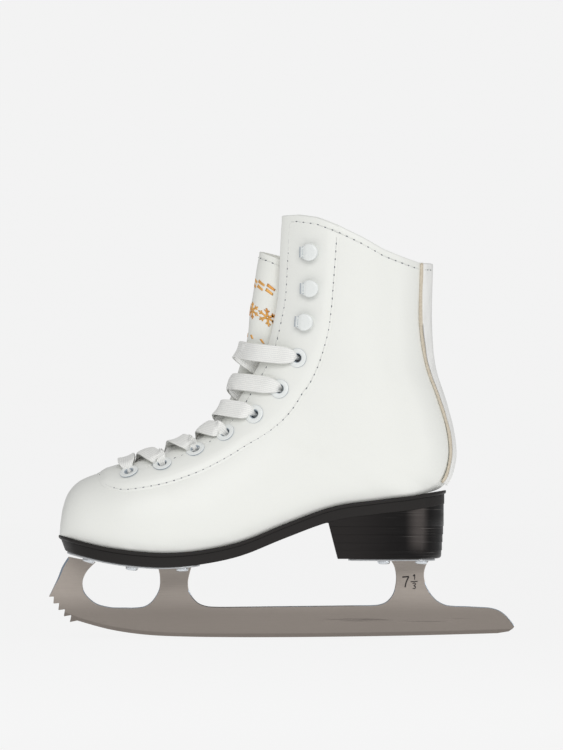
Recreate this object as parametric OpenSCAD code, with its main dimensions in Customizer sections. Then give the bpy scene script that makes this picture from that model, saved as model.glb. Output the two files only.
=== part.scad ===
// Child's figure skate for the left foot: a laced leather boot on a stacked heel,
// with a steel blade screwed under it. Toe at -X, outer side at -Y, ice at Z = 0.

/* [Boot] */
// Length of the boot from the toe to the back of the heel
boot_length = 200.4; // [160:1:245]
// Width of the boot across the ball of the foot
boot_width = 69; // [56:1:84]
// Height of the shaft's front corner above the sole at the ball
boot_height = 172.2; // [142:1:208]
// Thickness of the outer leather
leather_t = 1.7; // [1.2:0.1:2.2]
// Thickness of the eyestay and the backstay sewn over the leather
overlay_t = 1.1; // [0.8:0.1:1.6]
// Thickness of the stiffeners and of the ankle padding
stiffener_t = 1; // [0.6:0.1:1.4]
// Thickness of the lining
lining_t = 1; // [0.6:0.1:1.4]
// Gap left between layers that are glued
glue_gap = 0.2; // [0.15:0.05:0.3]

/* [Tongue] */
// Thickness of the padded tongue
tongue_t = 4; // [3:0.5:5]
// Half width of the free part of the tongue, inside the throat
tongue_half = 10; // [8.4:0.2:10.4]

/* [Lacing] */
// Eyelets on each side
eyelet_count = 7; // [7]
// Diameter of an eyelet's hole
eyelet_hole = 4.2; // [3.4:0.1:5.1]
// Outer diameter of an eyelet's flange
eyelet_flange = 9.8; // [8.2:0.1:11.8]
// Hooks on each side
hook_count = 3; // [3]
// Length of a hook's head
hook_length = 10; // [8:0.5:12]
// Width of a hook's head
hook_width = 8.6; // [7:0.2:10.4]
// Width of the flat lace
lace_width = 9; // [7:0.5:10.8]
// Thickness of the flat lace
lace_t = 1; // [0.8:0.1:1.2]

/* [Sole and heel] */
// Thickness of the sole, welt included
sole_t = 7; // [5.8:0.1:8.4]
// Thickness of the welt and of the filler inside it
welt_t = 1.8; // [1.4:0.1:2.2]
// How far the welt stands out past the foot's tread line
welt_lip = 3.4; // [2.6:0.1:4.1]
// Thickness of one heel lift
lift_t = 4.1; // [3.4:0.1:4.9]
// Thickness of the removable footbed
footbed_t = 3; // [2:0.5:4]

/* [Blade] */
// Height of the blade from the ice to the sole plate at the ball
blade_height = 35.1; // [29:0.5:42]
// Thickness of the blade
blade_t = 3.6; // [3:0.1:4.4]
// Radius of the rocker behind the ball
rocker_r = 4000; // [3300:100:4800]
// Thickness of the sole plate and the heel plate
plate_t = 1.2; // [1:0.1:2]
// Diameter of the screws' heads
screw_head = 6.2; // [5.2:0.1:7.4]
// Diameter of the screws' shanks
screw_d = 3.8; // [3.2:0.1:4.4]

/* [Hidden] */

// The shape of the last, drawn at these sizes and stretched to the ones above
last_length = 200.4;
last_width = 69;
last_height = 172.2;
last_ball_z = 43.3;
sx = boot_length / last_length;
sy = boot_width / last_width;
sz = boot_height / last_height;
ball_z = blade_height + plate_t + sole_t;
function up(z) = ball_z + (z - last_ball_z) * sz;

// Sections of the last from the toe to the top of the shaft. Each gives the sole or back
// point (x, z), the ridge or front point (x, z), the half width, the half width at the sole,
// the roundness at the ridge, the roundness at the sole, how round the back is, and how far
// the toe swings to the inner side
SECTIONS = [
    [-113.0,  52.3, -113.0,  53.3,  0.5,  0.4, 2.6, 3.0, 1.0, 3.4],
    [-112.3,  51.9, -112.5,  59.0,  9.5,  9.0, 2.6, 3.0, 1.0, 3.3],
    [-110.5,  51.4, -111.3,  66.5, 16.0, 15.3, 2.6, 3.0, 1.0, 3.2],
    [-106.5,  50.3, -108.5,  73.8, 22.0, 21.0, 2.6, 3.0, 1.0, 2.9],
    [ -99.5,  48.5, -102.5,  79.7, 27.5, 26.0, 2.6, 3.0, 1.0, 2.4],
    [ -88.0,  46.0,  -91.5,  84.0, 31.5, 29.5, 2.7, 3.0, 1.0, 1.4],
    [ -74.0,  44.1,  -80.5,  87.3, 34.0, 31.8, 2.9, 3.0, 1.0, 0.5],
    [ -58.0,  43.3,  -69.0,  91.3, 34.5, 32.6, 3.1, 3.0, 1.0, 0.0],
    [ -40.0,  44.8,  -58.4,  95.0, 33.5, 31.0, 3.2, 3.0, 1.0, 0.0],
    [ -20.0,  49.2,  -48.4,  99.0, 31.5, 28.0, 3.2, 3.0, 1.0, 0.0],
    [   2.0,  58.0,  -39.6, 103.8, 30.2, 25.5, 3.2, 3.0, 1.0, 0.0],
    [  26.0,  66.6,  -33.3, 109.9, 29.8, 24.5, 3.2, 3.0, 1.0, 0.0],
    [  50.0,  70.2,  -28.7, 116.8, 30.2, 24.5, 3.2, 3.0, 1.0, 0.0],
    [  70.0,  72.8,  -24.7, 125.4, 30.8, 21.5, 3.2, 4.0, 1.2, 0.0],
    [  82.5,  77.5,  -21.3, 134.0, 31.0,  6.0, 3.2, 5.5, 1.8, 0.0],
    [  87.4,  90.0,  -17.4, 141.9, 31.0,  0.6, 3.2, 5.0, 2.0, 0.0],
    [  86.6, 104.0,  -13.5, 151.3, 31.2,  0.6, 3.0, 4.2, 2.0, 0.0],
    [  82.5, 120.0,  -10.1, 163.2, 31.5,  0.6, 3.0, 3.8, 2.0, 0.0],
    [  77.0, 138.0,   -7.2, 176.3, 31.8,  0.6, 3.0, 3.4, 2.0, 0.0],
    [  75.2, 160.0,   -6.2, 192.8, 32.2,  0.6, 3.0, 3.2, 2.0, 0.0],
    [  75.7, 189.5,   -5.1, 215.5, 32.6,  0.6, 3.0, 3.2, 2.0, 0.0]
];
LAST = [
    for (r = SECTIONS)
        [r[0] * sx, up(r[1]), r[2] * sx, up(r[3]), r[4] * sy, r[5] * sy, r[6], r[7], r[8], r[9] * sy]
];
last_row = len(LAST) - 1;

// ---- interpolation ----
function clamp(v, low, high) = min(max(v, low), high);
function unit(v) = v / norm(v);
function ease(t) = let (c = clamp(t, 0, 1)) c * c * (3 - 2 * c);
function cubic(a, b, c, d, t) =
    0.5 * (2 * b + (c - a) * t + (2 * a - 5 * b + 4 * c - d) * t * t + (3 * b - a - 3 * c + d) * t * t * t);
// Value at place x in a list of [place, value] pairs, straight between them
function table(pairs, x) =
    let (
        last = len(pairs) - 1,
        k = clamp(len([for (q = pairs) if (q[0] <= x) 1]) - 1, 0, last - 1),
        a = pairs[k],
        b = pairs[k + 1],
        t = clamp((x - a[0]) / (b[0] - a[0]), 0, 1)
    )
    a[1] + (b[1] - a[1]) * t;
// A smooth line through points, n steps from each to the next
function smooth(points, n) =
    let (last = len(points) - 1)
    [
        for (i = [0:last - 1], k = [0:n - 1])
            cubic(
                points[max(i - 1, 0)], points[i], points[i + 1], points[min(i + 2, last)], k / n
            ),
        points[last]
    ];

// ---- surface of the last: row r counts the sections, p runs from the sole or back to the
// ridge, and side is -1 on the outer side or 1 on the inner side ----
function section(r) =
    let (
        i = clamp(floor(r), 0, last_row - 1),
        a = i > 0 ? LAST[i - 1] : 2 * LAST[0] - LAST[1],
        d = i < last_row - 1 ? LAST[i + 2] : 2 * LAST[last_row] - LAST[last_row - 1]
    )
    cubic(a, LAST[i], LAST[i + 1], d, r - i);
// How much narrower the sole's inner side is at the arch
function arch(r, side) = side > 0 ? 1 - 0.13 * exp(-pow((r - 10) / 1.5, 2)) : 1;
// The topline's curve, which fades out below the top
TOPLINE = [
    [0, 0], [0.06, -1.5], [0.15, -1.4], [0.29, -0.8], [0.44, 1.8], [0.61, 3.8], [0.73, 4.3],
    [0.84, 2.7], [0.92, 0.2], [1, -2.5]
];
topline_fade = 16;
function skin(r, p, side) =
    let (
        q = section(r),
        back = [q[0], q[1]],
        along = [q[2], q[3]] - back,
        half = q[4],
        foot = q[5] * arch(r, side) / half,
        round_top = sqrt(max(0, 1 - pow(p, q[6]))),
        round_foot = foot + (1 - foot) * pow(max(0, 1 - pow(1 - p, q[7])), 1 / q[8]),
        up_way = unit([-along[1], along[0]]),
        rise = table(TOPLINE, p) * ease((r - topline_fade) / (last_row - topline_fade)) * sz,
        at = back + along * p - up_way * rise
    )
    [at[0], side * half * round_top * round_foot + q[9], at[1]];
function spine(r) =
    let (q = section(r))
    [(q[0] + q[2]) / 2, q[9], (q[1] + q[3]) / 2];
step_r = 0.06;
step_p = 0.008;
function along_row(r, p, side) = skin(r + step_r, p, side) - skin(r - step_r, p, side);
function normal(r, p, side) =
    let (
        rr = clamp(r, 0.35, last_row - step_r),
        pp = clamp(p, 0.02, 0.9985),
        n = unit(cross(
            along_row(rr, pp, side),
            skin(rr, min(pp + step_p, 0.9995), side) - skin(rr, pp - step_p, side)
        ))
    )
    n * (skin(rr, pp, side) - spine(rr)) > 0 ? n : -n;
// Direction out of the sole, or out of the back above it
function tread_normal(r) =
    let (
        rr = clamp(r, 0.5, last_row - 0.5),
        a = section(rr - 0.4),
        b = section(rr + 0.4)
    )
    unit([b[1] - a[1], 0, a[0] - b[0]]);
// A point depth above (or, below zero, under) the skin
function over(r, p, side, depth) = skin(r, p, side) + depth * normal(r, p, side);
function tread(r, side, share, depth) =
    let (q = section(r), edge = q[5] * arch(r, side))
    [q[0], q[9] + side * edge * share, q[1]] + depth * tread_normal(r);
function corner(r, side, depth) =
    let (q = section(r), edge = q[5] * arch(r, side), n = normal(r, 0.02, side))
    [q[0], q[9] + side * edge, q[1]]
    + depth * (r < last_row - 6.4 ? unit([n[0], n[1], n[2] * 0.2]) + tread_normal(r) : n);

// ---- throat, eyestay and the other outlines drawn on the last, as [row, p] ----
throat_row = 5.9;
THROAT = [[5.9, 1], [6.4, 0.965], [8, 0.955], [11, 0.955], [14, 0.94], [16, 0.925], [20, 0.92]];
function throat(r) = table(THROAT, r);
eyestay_row = 4.9;
EYESTAY = [
    [4.9, 0.985], [5.02, 0.89], [5.2, 0.815], [5.7, 0.742], [6.2, 0.716], [7.4, 0.702],
    [8.6, 0.715], [9.8, 0.726], [11.5, 0.727], [14.3, 0.724], [15.1, 0.708], [16, 0.686],
    [17.1, 0.652], [17.7, 0.634], [18.7, 0.616], [20, 0.6]
];
function eyestay_line(r) = table(EYESTAY, r);
BACKSTAY = [[14, 0.02], [16, 0.026], [17, 0.036], [18, 0.046], [19, 0.06], [20, 0.06]];
EYELETS = [
    [6.24, 0.888], [7.64, 0.874], [9.2, 0.896], [10.8, 0.882], [12.48, 0.846], [14.32, 0.814],
    [16.08, 0.782]
];
HOOKS = [[17.44, 0.766], [18.48, 0.748], [19.32, 0.758]];

// Depths of the layers below the leather's face
under_leather = leather_t + glue_gap;
under_stiffener = under_leather + stiffener_t + glue_gap;
lining_depth = under_stiffener + lining_t;
lace_room = lace_t + 2.1;
overlay_gap = glue_gap + 0.15;

// ---- closed solid between an outer and an inner grid of points ----
// pole: row 0 is one point. seam: rows up to this one are joined at their two ends.
// gap: the column after which the surface stops and starts again
module grid_solid(outer, inner, pole = false, seam = -1, gap = -1) {
    rows = len(outer);
    cols = len(outer[1]);
    first = pole ? 1 : 0;
    count = pole ? 1 + (rows - 1) * cols : rows * cols;
    function flat(grid) = [if (pole) grid[0][0], for (i = [first:rows - 1]) each grid[i]];
    function at(i, j) =
        pole && i == 0 ? 0 : (pole ? 1 + (i - 1) * cols : i * cols) + (i <= seam && j == cols - 1 ? 0 : j);
    function under(i, j) = count + at(i, j);
    starts = [0, if (gap >= 0) gap + 1];
    ends = [cols - 1, if (gap >= 0) gap];
    faces = [
        for (i = [0:rows - 2], j = [0:cols - 2]) if (j != gap) each [
            [at(i, j), at(i + 1, j), at(i + 1, j + 1)],
            [at(i, j), at(i + 1, j + 1), at(i, j + 1)],
            [under(i, j), under(i + 1, j + 1), under(i + 1, j)],
            [under(i, j), under(i, j + 1), under(i + 1, j + 1)]
        ],
        for (j = [0:cols - 2]) if (j != gap) each [
            [at(rows - 1, j + 1), at(rows - 1, j), under(rows - 1, j)],
            [at(rows - 1, j + 1), under(rows - 1, j), under(rows - 1, j + 1)],
            if (!pole) [at(0, j), at(0, j + 1), under(0, j + 1)],
            if (!pole) [at(0, j), under(0, j + 1), under(0, j)]
        ],
        for (j = starts, i = [0:rows - 2]) if (j > 0 || i >= seam) each [
            [at(i + 1, j), at(i, j), under(i, j)],
            [at(i + 1, j), under(i, j), under(i + 1, j)]
        ],
        for (j = ends, i = [0:rows - 2]) if (j < cols - 1 || i >= seam) each [
            [at(i, j), at(i + 1, j), under(i + 1, j)],
            [at(i, j), under(i + 1, j), under(i, j)]
        ]
    ];
    polyhedron(
        points = concat(flat(outer), flat(inner)),
        faces = [for (f = faces) if (f[0] != f[1] && f[1] != f[2] && f[0] != f[2]) f]
    );
}

// ---- rows of points round the last ----
wall_steps = 9;
function wall_places(low, high, steps) = [
    for (k = [0:steps]) low + (high - low) * (1 - cos(180 * k / steps)) / 2
];
function half_row(r, side, depth, keep) =
    let (places = wall_places(0, throat(r), wall_steps))
    [
        tread(r, side, 0.55, depth),
        corner(r, side, depth),
        for (k = [1:keep]) over(r, places[k], side, depth)
    ];
function backwards(list) = [for (i = [len(list) - 1:-1:0]) list[i]];
// keep is how many of the places up the wall the row reaches
function full_row(r, depth, keep = wall_steps) = concat(
    backwards(half_row(r, -1, depth, keep)),
    [tread(r, 1, 0, depth)],
    half_row(r, 1, depth, keep)
);
function tip(depth) =
    let (q = section(0))
    [q[0] - depth * 0.95, q[9], (q[1] + q[3]) / 2 - depth];
function wrap(rows, depth) = [
    for (r = rows) r == 0 ? [tip(depth)] : full_row(r, depth)
];
BOOT_ROWS = [
    0, 0.5, 1, 1.6, 2.3, 3, 4, 5, throat_row, 6.5, 7.3, 8.2, 9.1, 10, 11, 12, 12.8, 13.4, 14, 14.6,
    15.2, 16, 16.4, 17, 18, 19, 19.8, 20
];
throat_index = 8;
FLOOR_ROWS = [for (r = BOOT_ROWS) if (r >= 3 && r <= 12.8) r];

// Frame on the skin: X along the boot, Y across, Z out of the leather
module on_skin(r, p, side, depth = 0) {
    n = normal(r, p, side);
    t0 = along_row(r, p, side);
    t = unit(t0 - (t0 * n) * n);
    b = cross(n, t);
    o = over(r, p, side, depth);
    multmatrix([
        [t[0], b[0], n[0], o[0]],
        [t[1], b[1], n[1], o[1]],
        [t[2], b[2], n[2], o[2]],
        [0, 0, 0, 1]
    ])
        children();
}

// ---- holes for the eyelets and the hooks' rivets ----
barrel_wall = 0.5;
barrel_d = eyelet_hole + 2 * barrel_wall;
rivet_d = 3;
module fastener_holes() {
    for (side = [-1, 1]) {
        for (e = EYELETS)
            on_skin(e[0], e[1], side, -8)
                cylinder(h = 12, d = barrel_d, $fn = 32);
        for (h = HOOKS)
            on_skin(h[0], h[1], side, -8)
                cylinder(h = 12, d = rivet_d, $fn = 32);
    }
}

// ---- boot ----
module upper() {
    color([0.92, 0.92, 0.9])
        difference() {
            grid_solid(
                wrap(BOOT_ROWS, 0), wrap(BOOT_ROWS, -leather_t), pole = true, seam = throat_index
            );
            fastener_holes();
        }
}
module lining() {
    color([0.85, 0.8, 0.7])
        difference() {
            grid_solid(
                wrap(BOOT_ROWS, -under_stiffener), wrap(BOOT_ROWS, -lining_depth),
                pole = true, seam = throat_index
            );
            fastener_holes();
        }
}
stay_steps = 6;
function stay_row(r, depth) =
    let (
        top = r <= throat_row ? 0.9985 : throat(r),
        places = [for (k = [0:stay_steps]) top + (eyestay_line(r) - top) * k / stay_steps]
    )
    concat(
        [for (p = places) over(r, p, -1, depth)],
        [for (p = backwards(places)) over(r, p, 1, depth)]
    );
STAY_ROWS = [
    5.02, 5.3, throat_row, 6.5, 7.3, 8.2, 9.1, 10, 11, 12, 12.8, 13.4, 14, 14.6, 15.2, 16, 17, 18,
    19, 20
];
module eyestay() {
    function stay(depth) = [
        [over(eyestay_row, 0.9985, 1, depth) * 0.5 + over(eyestay_row, 0.9985, -1, depth) * 0.5],
        for (r = STAY_ROWS) stay_row(r, depth)
    ];
    color([0.93, 0.93, 0.91])
        difference() {
            grid_solid(
                stay(overlay_gap + overlay_t), stay(overlay_gap),
                pole = true, seam = 3, gap = stay_steps
            );
            fastener_holes();
        }
}
module backstay() {
    rows = [14.1, 14.6, 15.2, 16, 17, 18, 19, 20];
    function strip(r, depth) =
        let (places = wall_places(0, table(BACKSTAY, r) * 2, 6))
        concat(
            [for (k = [3:-1:1]) over(r, places[k], -1, depth)],
            [tread(r, 1, 0, depth)],
            [for (k = [1:3]) over(r, places[k], 1, depth)]
        );
    color([0.9, 0.88, 0.84])
        grid_solid(
            [for (r = rows) strip(r, overlay_gap + overlay_t)],
            [for (r = rows) strip(r, overlay_gap)]
        );
}
module heel_counter() {
    rows = [12.8, 13.4, 14, 14.6, 15.2, 16];
    keep = 5;
    color([0.7, 0.62, 0.5])
        grid_solid(
            [for (r = rows) full_row(r, -under_leather, keep)],
            [for (r = rows) full_row(r, -under_leather - stiffener_t, keep)]
        );
}
module toe_puff() {
    rows = [0, 0.5, 1, 1.6, 2.3, 3, 4];
    color([0.7, 0.62, 0.5])
        grid_solid(
            wrap(rows, -under_leather), wrap(rows, -under_leather - stiffener_t),
            pole = true, seam = len(rows) - 1
        );
}
module ankle_padding() {
    rows = [16.4, 17, 18, 19, 19.8];
    keep = 5;
    color([0.8, 0.78, 0.7])
        grid_solid(
            [for (r = rows) full_row(r, -under_leather, keep)],
            [for (r = rows) full_row(r, -under_leather - stiffener_t, keep)]
        );
}
// A slab on the tread inside the boot, a share of its width
module tread_slab(rows, share, depth, thick) {
    function across(r, d) = [for (s = [-1, -0.5, 0, 0.5, 1]) tread(r, s < 0 ? -1 : 1, abs(s) * share, d)];
    grid_solid([for (r = rows) across(r, -depth)], [for (r = rows) across(r, -depth - thick)]);
}
module insole_board() {
    color([0.6, 0.48, 0.34])
        tread_slab([for (r = FLOOR_ROWS) if (r > 4) r], 0.8, under_leather, stiffener_t);
}
footbed_gap = 0.4;
module footbed() {
    color([0.75, 0.75, 0.78])
        tread_slab(FLOOR_ROWS, 0.72, lining_depth + footbed_gap, footbed_t);
}

// ---- tongue: under the facings below, free above the top lace ----
tongue_rows_low = [5.4, 6.5, 7.3, 8.2, 9.1, 10, 11, 12, 12.8, 13.4, 14, 14.6, 15.2, 15.9];
hinge_row = 16.25;
tongue_top_row = 19.08;
TONGUE_RISE = [
    [5.4, -4.6], [7, -2.6], [10, -1.4], [13, 0.2], [15, 2.6], [16, 4.2], [17, 6.6], [18, 7.2], [19.1, 5.8]
];
tongue_wing = 0.8;
wing_depth = lining_depth + lace_room + 0.3;
tongue_steps = 6;
// Half of the tongue's section, from the ridge outwards: it dips under the lining's edge
function tongue_place(r, side, k, down) =
    let (
        edge = throat(max(r, 6.6)),
        f = k / tongue_steps,
        inner = 0.6,
        p = f < inner
            ? 1 - (1 - edge) * pow(f / inner, 2)
            : edge + (tongue_wing - edge) * (f - inner) / (1 - inner),
        blend = f < inner ? pow(1 - pow(f / inner, 2), 2) : 0,
        rise = table(TONGUE_RISE, r),
        depth = -wing_depth + (rise + wing_depth) * blend
    )
    over(r, p, side, depth - down);
function tongue_row(r, down) = concat(
    [for (k = [tongue_steps:-1:1]) tongue_place(r, -1, k, down)],
    [tongue_place(r, 1, 0, down)],
    [for (k = [1:tongue_steps]) tongue_place(r, 1, k, down)]
);
// The free part is a channel that stays between the facings' edges
tongue_wing_length = 20;
function channel_place(r, side, k, down) =
    let (
        q = section(r),
        forward = unit([q[2] - q[0], 0, q[3] - q[1]]),
        nose = [q[2], 0, q[3]] + forward * (table(TONGUE_RISE, r) - down),
        f = k / tongue_steps,
        a = 90 * min(f / 0.6, 1),
        half = tongue_half - down,
        behind = half * 1.15 * (1 - cos(a)) + max(f - 0.6, 0) / 0.4 * (tongue_wing_length - half)
    )
    nose - forward * behind + [0, side * half * sin(a), 0];
function channel_row(r, down, lift) =
    let (
        place = function (side, k)
            channel_place(r + lift * pow(k / tongue_steps, 2), side, k, down)
    )
    concat(
        [for (k = [tongue_steps:-1:1]) place(-1, k)],
        [place(1, 0)],
        [for (k = [1:tongue_steps]) place(1, k)]
    );
module tongue_base() {
    color([0.9, 0.9, 0.88])
        grid_solid(
            [for (r = tongue_rows_low) backwards(tongue_row(r, 0))],
            [for (r = tongue_rows_low) backwards(tongue_row(r, tongue_t * 0.6))]
        );
}
module tongue_top() {
    rows = [hinge_row, 16.8, 17.5, 18.3, tongue_top_row];
    lifts = [0.5, 0.3, 0.1, 0, 0];
    color([0.9, 0.9, 0.88])
        grid_solid(
            [for (k = [0:4]) backwards(channel_row(rows[k], 0, lifts[k]))],
            [for (k = [0:4]) backwards(channel_row(rows[k], tongue_t, lifts[k]))]
        );
}

// ---- sole ----
TREAD_ROWS = [0, 0.5, 1, 1.6, 2.3, 3, 4, 5, 6, 7, 8, 9, 10, 11, 12, 12.6, 13];
heel_back_x = 83.8;
heel_seat_z = 75.4;
function tread_point(r) = let (q = section(r)) [q[0], q[1]];
TREAD_LINE = [
    [-113.6 * sx, up(52.3)],
    for (r = TREAD_ROWS) if (r > 0) tread_point(r),
    [79 * sx, up(74.2)],
    [(heel_back_x + 2) * sx, up(heel_seat_z + 0.2)]
];
function tread_z(x) = table(TREAD_LINE, x);
function sole_bottom(x) = tread_z(x) - glue_gap - sole_t;
// Plan of the sole: half widths along the foot, scaled in by inset all round
sole_mid = (-113.6 + heel_back_x) / 2 * sx;
sole_half_length = (heel_back_x + 113.6) / 2 * sx;
sole_half_width = 32.6 * sy + welt_lip;
HEEL_END = [[70, 24.6], [75.5, 21.4], [80, 15.6], [82.8, 9], [heel_back_x, 0]];
function sole_side(side) = [
    [-113.6 * sx, section(0)[9]],
    for (r = [0.25, 0.5, 1, 1.6, 2.3, 3, 4, 5, 6, 7, 8, 9, 10, 11, 12])
        let (q = section(r), lip = welt_lip * ease(r / 3))
        [q[0] - 0.6 * sx * (1 - ease(r / 3)), q[9] + side * (q[5] * arch(r, side) + lip)],
    for (e = HEEL_END) if (e[1] > 0) [e[0] * sx, side * e[1] * sy * (1 + (welt_lip - 3.4) / 25)],
    if (side > 0) [heel_back_x * sx, 0]
];
function sole_plan(inset) =
    let (
        kx = 1 - inset / sole_half_length,
        ky = 1 - inset / sole_half_width,
        out = sole_side(1),
        back = backwards(sole_side(-1)),
        all = concat(out, [for (i = [0:len(back) - 2]) back[i]])
    )
    [for (q = all) [sole_mid + (q[0] - sole_mid) * kx, q[1] * ky]];
module plan_block(outline, low = 0, high = 120) {
    translate([0, 0, low])
        linear_extrude(height = high - low)
            polygon(outline);
}
// A band that follows the tread, between two depths below it
module tread_band(top, bottom, x0 = -130 * sx, x1 = 100 * sx) {
    inside = [for (q = TREAD_LINE) if (q[0] > x0 + 1 && q[0] < x1 - 1) q[0]];
    xs = concat([x0], inside, [x1]);
    translate([0, 100, 0])
        rotate([90, 0, 0])
            linear_extrude(height = 200)
                polygon(concat(
                    [for (x = xs) [x, tread_z(x) - top]],
                    [for (x = backwards(xs)) [x, tread_z(x) - bottom]]
                ));
}
welt_width = 7;
module welt() {
    color([0.12, 0.11, 0.11])
        intersection() {
            difference() {
                plan_block(sole_plan(0));
                plan_block(sole_plan(welt_width), -1, 121);
            }
            tread_band(glue_gap, glue_gap + welt_t);
        }
}
shank_half = 6;
shank_t = 1.2;
shank_from = -36;
shank_to = 44;
module shank_shape(clear) {
    intersection() {
        translate([(shank_from * sx) - clear, -shank_half - clear, 0])
            cube([(shank_to - shank_from) * sx + 2 * clear, 2 * (shank_half + clear), 120]);
        tread_band(glue_gap + 0.3 - clear, glue_gap + 0.3 + shank_t + clear);
    }
}
module shank() {
    color([0.5, 0.5, 0.52])
        shank_shape(0);
}
module sole_filler() {
    color([0.65, 0.5, 0.35])
        difference() {
            intersection() {
                plan_block(sole_plan(welt_width + glue_gap));
                tread_band(glue_gap, glue_gap + welt_t);
            }
            shank_shape(0.2);
            heel_holes();
        }
}
sole_edge_in = 0.9;
module outsole() {
    toe_slant = 2.6;
    color([0.14, 0.13, 0.13])
        difference() {
            intersection() {
                plan_block(sole_plan(sole_edge_in));
                tread_band(glue_gap + welt_t, glue_gap + sole_t);
            }
            translate([-130 * sx, -60, up(52.3) - glue_gap - welt_t])
                rotate([0, 90 - atan(sole_t / toe_slant), 0])
                    translate([-20, 0, -40])
                        cube([20 + (130 - 112.9) * sx, 120, 0.001]);
            heel_holes();
        }
}

// ---- heel ----
heel_plate_z = blade_height + 3.9;
heel_bottom_z = heel_plate_z + plate_t;
breast_top_x = 23.5;
breast_bottom_x = 28.5;
heel_top_z = tread_z(heel_back_x * sx);
lift_tops = [for (k = [1:4]) heel_bottom_z + k * lift_t];
lift_taper = 0.3;
// The heel's block between two heights, cut off at the slanted breast
module heel_slab(low, high, inset) {
    lean = (breast_bottom_x - breast_top_x) / 19.3;
    breast = function (z) breast_bottom_x * sx - (z - heel_bottom_z) * lean;
    intersection() {
        plan_block(sole_plan(inset), low, high);
        translate([0, 100, 0])
            rotate([90, 0, 0])
                linear_extrude(height = 200)
                    polygon([
                        [breast(low), low], [breast(high), high], [100 * sx, high], [100 * sx, low]
                    ]);
    }
}
module heel_lift(k) {
    color([0.13, 0.12, 0.12])
        difference() {
            intersection() {
                heel_slab(lift_tops[k - 1], lift_tops[k], 1.2 + lift_taper * (4 - k));
                tread_band(glue_gap + sole_t, glue_gap + sole_t + 60);
            }
            heel_holes();
        }
}
module heel_wedge() {
    color([0.13, 0.12, 0.12])
        difference() {
            intersection() {
                heel_slab(lift_tops[3], heel_top_z, 1.2);
                tread_band(glue_gap + sole_t, glue_gap + sole_t + 60);
            }
            heel_holes();
        }
}
module heel_top_piece() {
    color([0.1, 0.1, 0.1])
        difference() {
            heel_slab(heel_bottom_z, lift_tops[0], 1.2 + lift_taper * 4);
            heel_holes();
        }
}
NAILS = [[36, -13], [36, 13], [52, 0], [66, -14], [66, 14], [75, 0]];
nail_d = 2;
nail_clear = 3;
module nail_places(d) {
    for (q = NAILS) {
        top = tread_z(q[0] * sx) - glue_gap - 0.4;
        translate([q[0] * sx, q[1] * sy, heel_bottom_z + nail_clear])
            cylinder(h = top - heel_bottom_z - nail_clear, d = d, $fn = 24);
    }
}
module heel_nails() {
    color([0.6, 0.6, 0.62])
        nail_places(nail_d);
}
module heel_holes() {
    screw_places(screw_d);
    nail_places(nail_d + 0.02);
}

// ---- blade, plates and screws ----
sole_plate_from = -109;
sole_plate_to = -41.6;
heel_plate_from = 34;
heel_plate_to = 78;
SOLE_PLATE_HALF = [
    [-109, 5], [-107, 8.5], [-102, 12], [-94, 16], [-84, 19], [-74, 20], [-64, 18.5], [-54, 15],
    [-46, 11], [-43, 8.5], [-41.6, 5]
];
HEEL_PLATE_HALF = [
    [34, 6], [35.5, 9.5], [40, 13], [48, 16.5], [58, 18.5], [68, 17.5], [74, 14], [77, 9.5], [78, 6]
];
function plate_plan(halves) = concat(
    [for (h = halves) [h[0] * sx, h[1] * sy]],
    [for (h = backwards(halves)) [h[0] * sx, -h[1] * sy]]
);
SOLE_SCREWS = [[-98, 9.5], [-76, 14.5], [-44.5 - 6, 9]];
HEEL_SCREWS = [[52, 12.5], [71, 10.5]];
head_h = 1.7;
screw_gap = 0.05;
// Every screw's shank, from its plate up into the sole or the heel
module screw_places(d) {
    for (q = SOLE_SCREWS, side = [-1, 1])
        on_plate(q, side)
            translate([0, 0, -0.4])
                cylinder(h = plate_t + sole_t - 0.2, d = d, $fn = 24);
    for (q = HEEL_SCREWS, side = [-1, 1])
        on_plate(q, side)
            cylinder(h = plate_t + 3 * lift_t, d = d, $fn = 24);
}
// Places a piece on a plate's underside, square to it
module on_plate(q, side) {
    x = q[0] * sx;
    z = x < 0 ? sole_bottom(x) - plate_t : heel_plate_z;
    slope = x < 0 ? atan((sole_bottom(x + 3) - sole_bottom(x - 3)) / 6) : 0;
    translate([x, side * q[1] * sy, z])
        rotate([0, -slope, 0])
            children();
}
module screw_head_shape() {
    difference() {
        translate([0, 0, -head_h])
            union() {
                cylinder(h = head_h * 0.45, d1 = screw_head - 1, d2 = screw_head, $fn = 32);
                translate([0, 0, head_h * 0.45])
                    cylinder(h = head_h * 0.55 - screw_gap, d = screw_head, $fn = 32);
            }
        for (turn = [0, 90])
            rotate([0, 0, turn])
                translate([-1.9, -0.45, -head_h - 0.1])
                    cube([3.8, 0.9, 1]);
    }
}
module screws(places, shank) {
    for (q = places, side = [-1, 1])
        on_plate(q, side) {
            screw_head_shape();
            translate([0, 0, -0.4])
                cylinder(h = shank + 0.1, d = screw_d - 0.1, $fn = 24);
        }
}
module sole_plate_screws() {
    color([0.75, 0.75, 0.77])
        screws(SOLE_SCREWS, plate_t + sole_t - 0.9);
}
module heel_plate_screws() {
    color([0.75, 0.75, 0.77])
        screws(HEEL_SCREWS, plate_t + 3 * lift_t - 0.6);
}
module sole_plate() {
    color([0.7, 0.7, 0.72])
        difference() {
            intersection() {
                plan_block(plate_plan(SOLE_PLATE_HALF));
                tread_band(glue_gap + sole_t, glue_gap + sole_t + plate_t);
            }
            screw_places(screw_d);
        }
}
module heel_plate() {
    color([0.7, 0.7, 0.72])
        difference() {
            plan_block(plate_plan(HEEL_PLATE_HALF), heel_plate_z, heel_bottom_z);
            screw_places(screw_d);
        }
}
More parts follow.
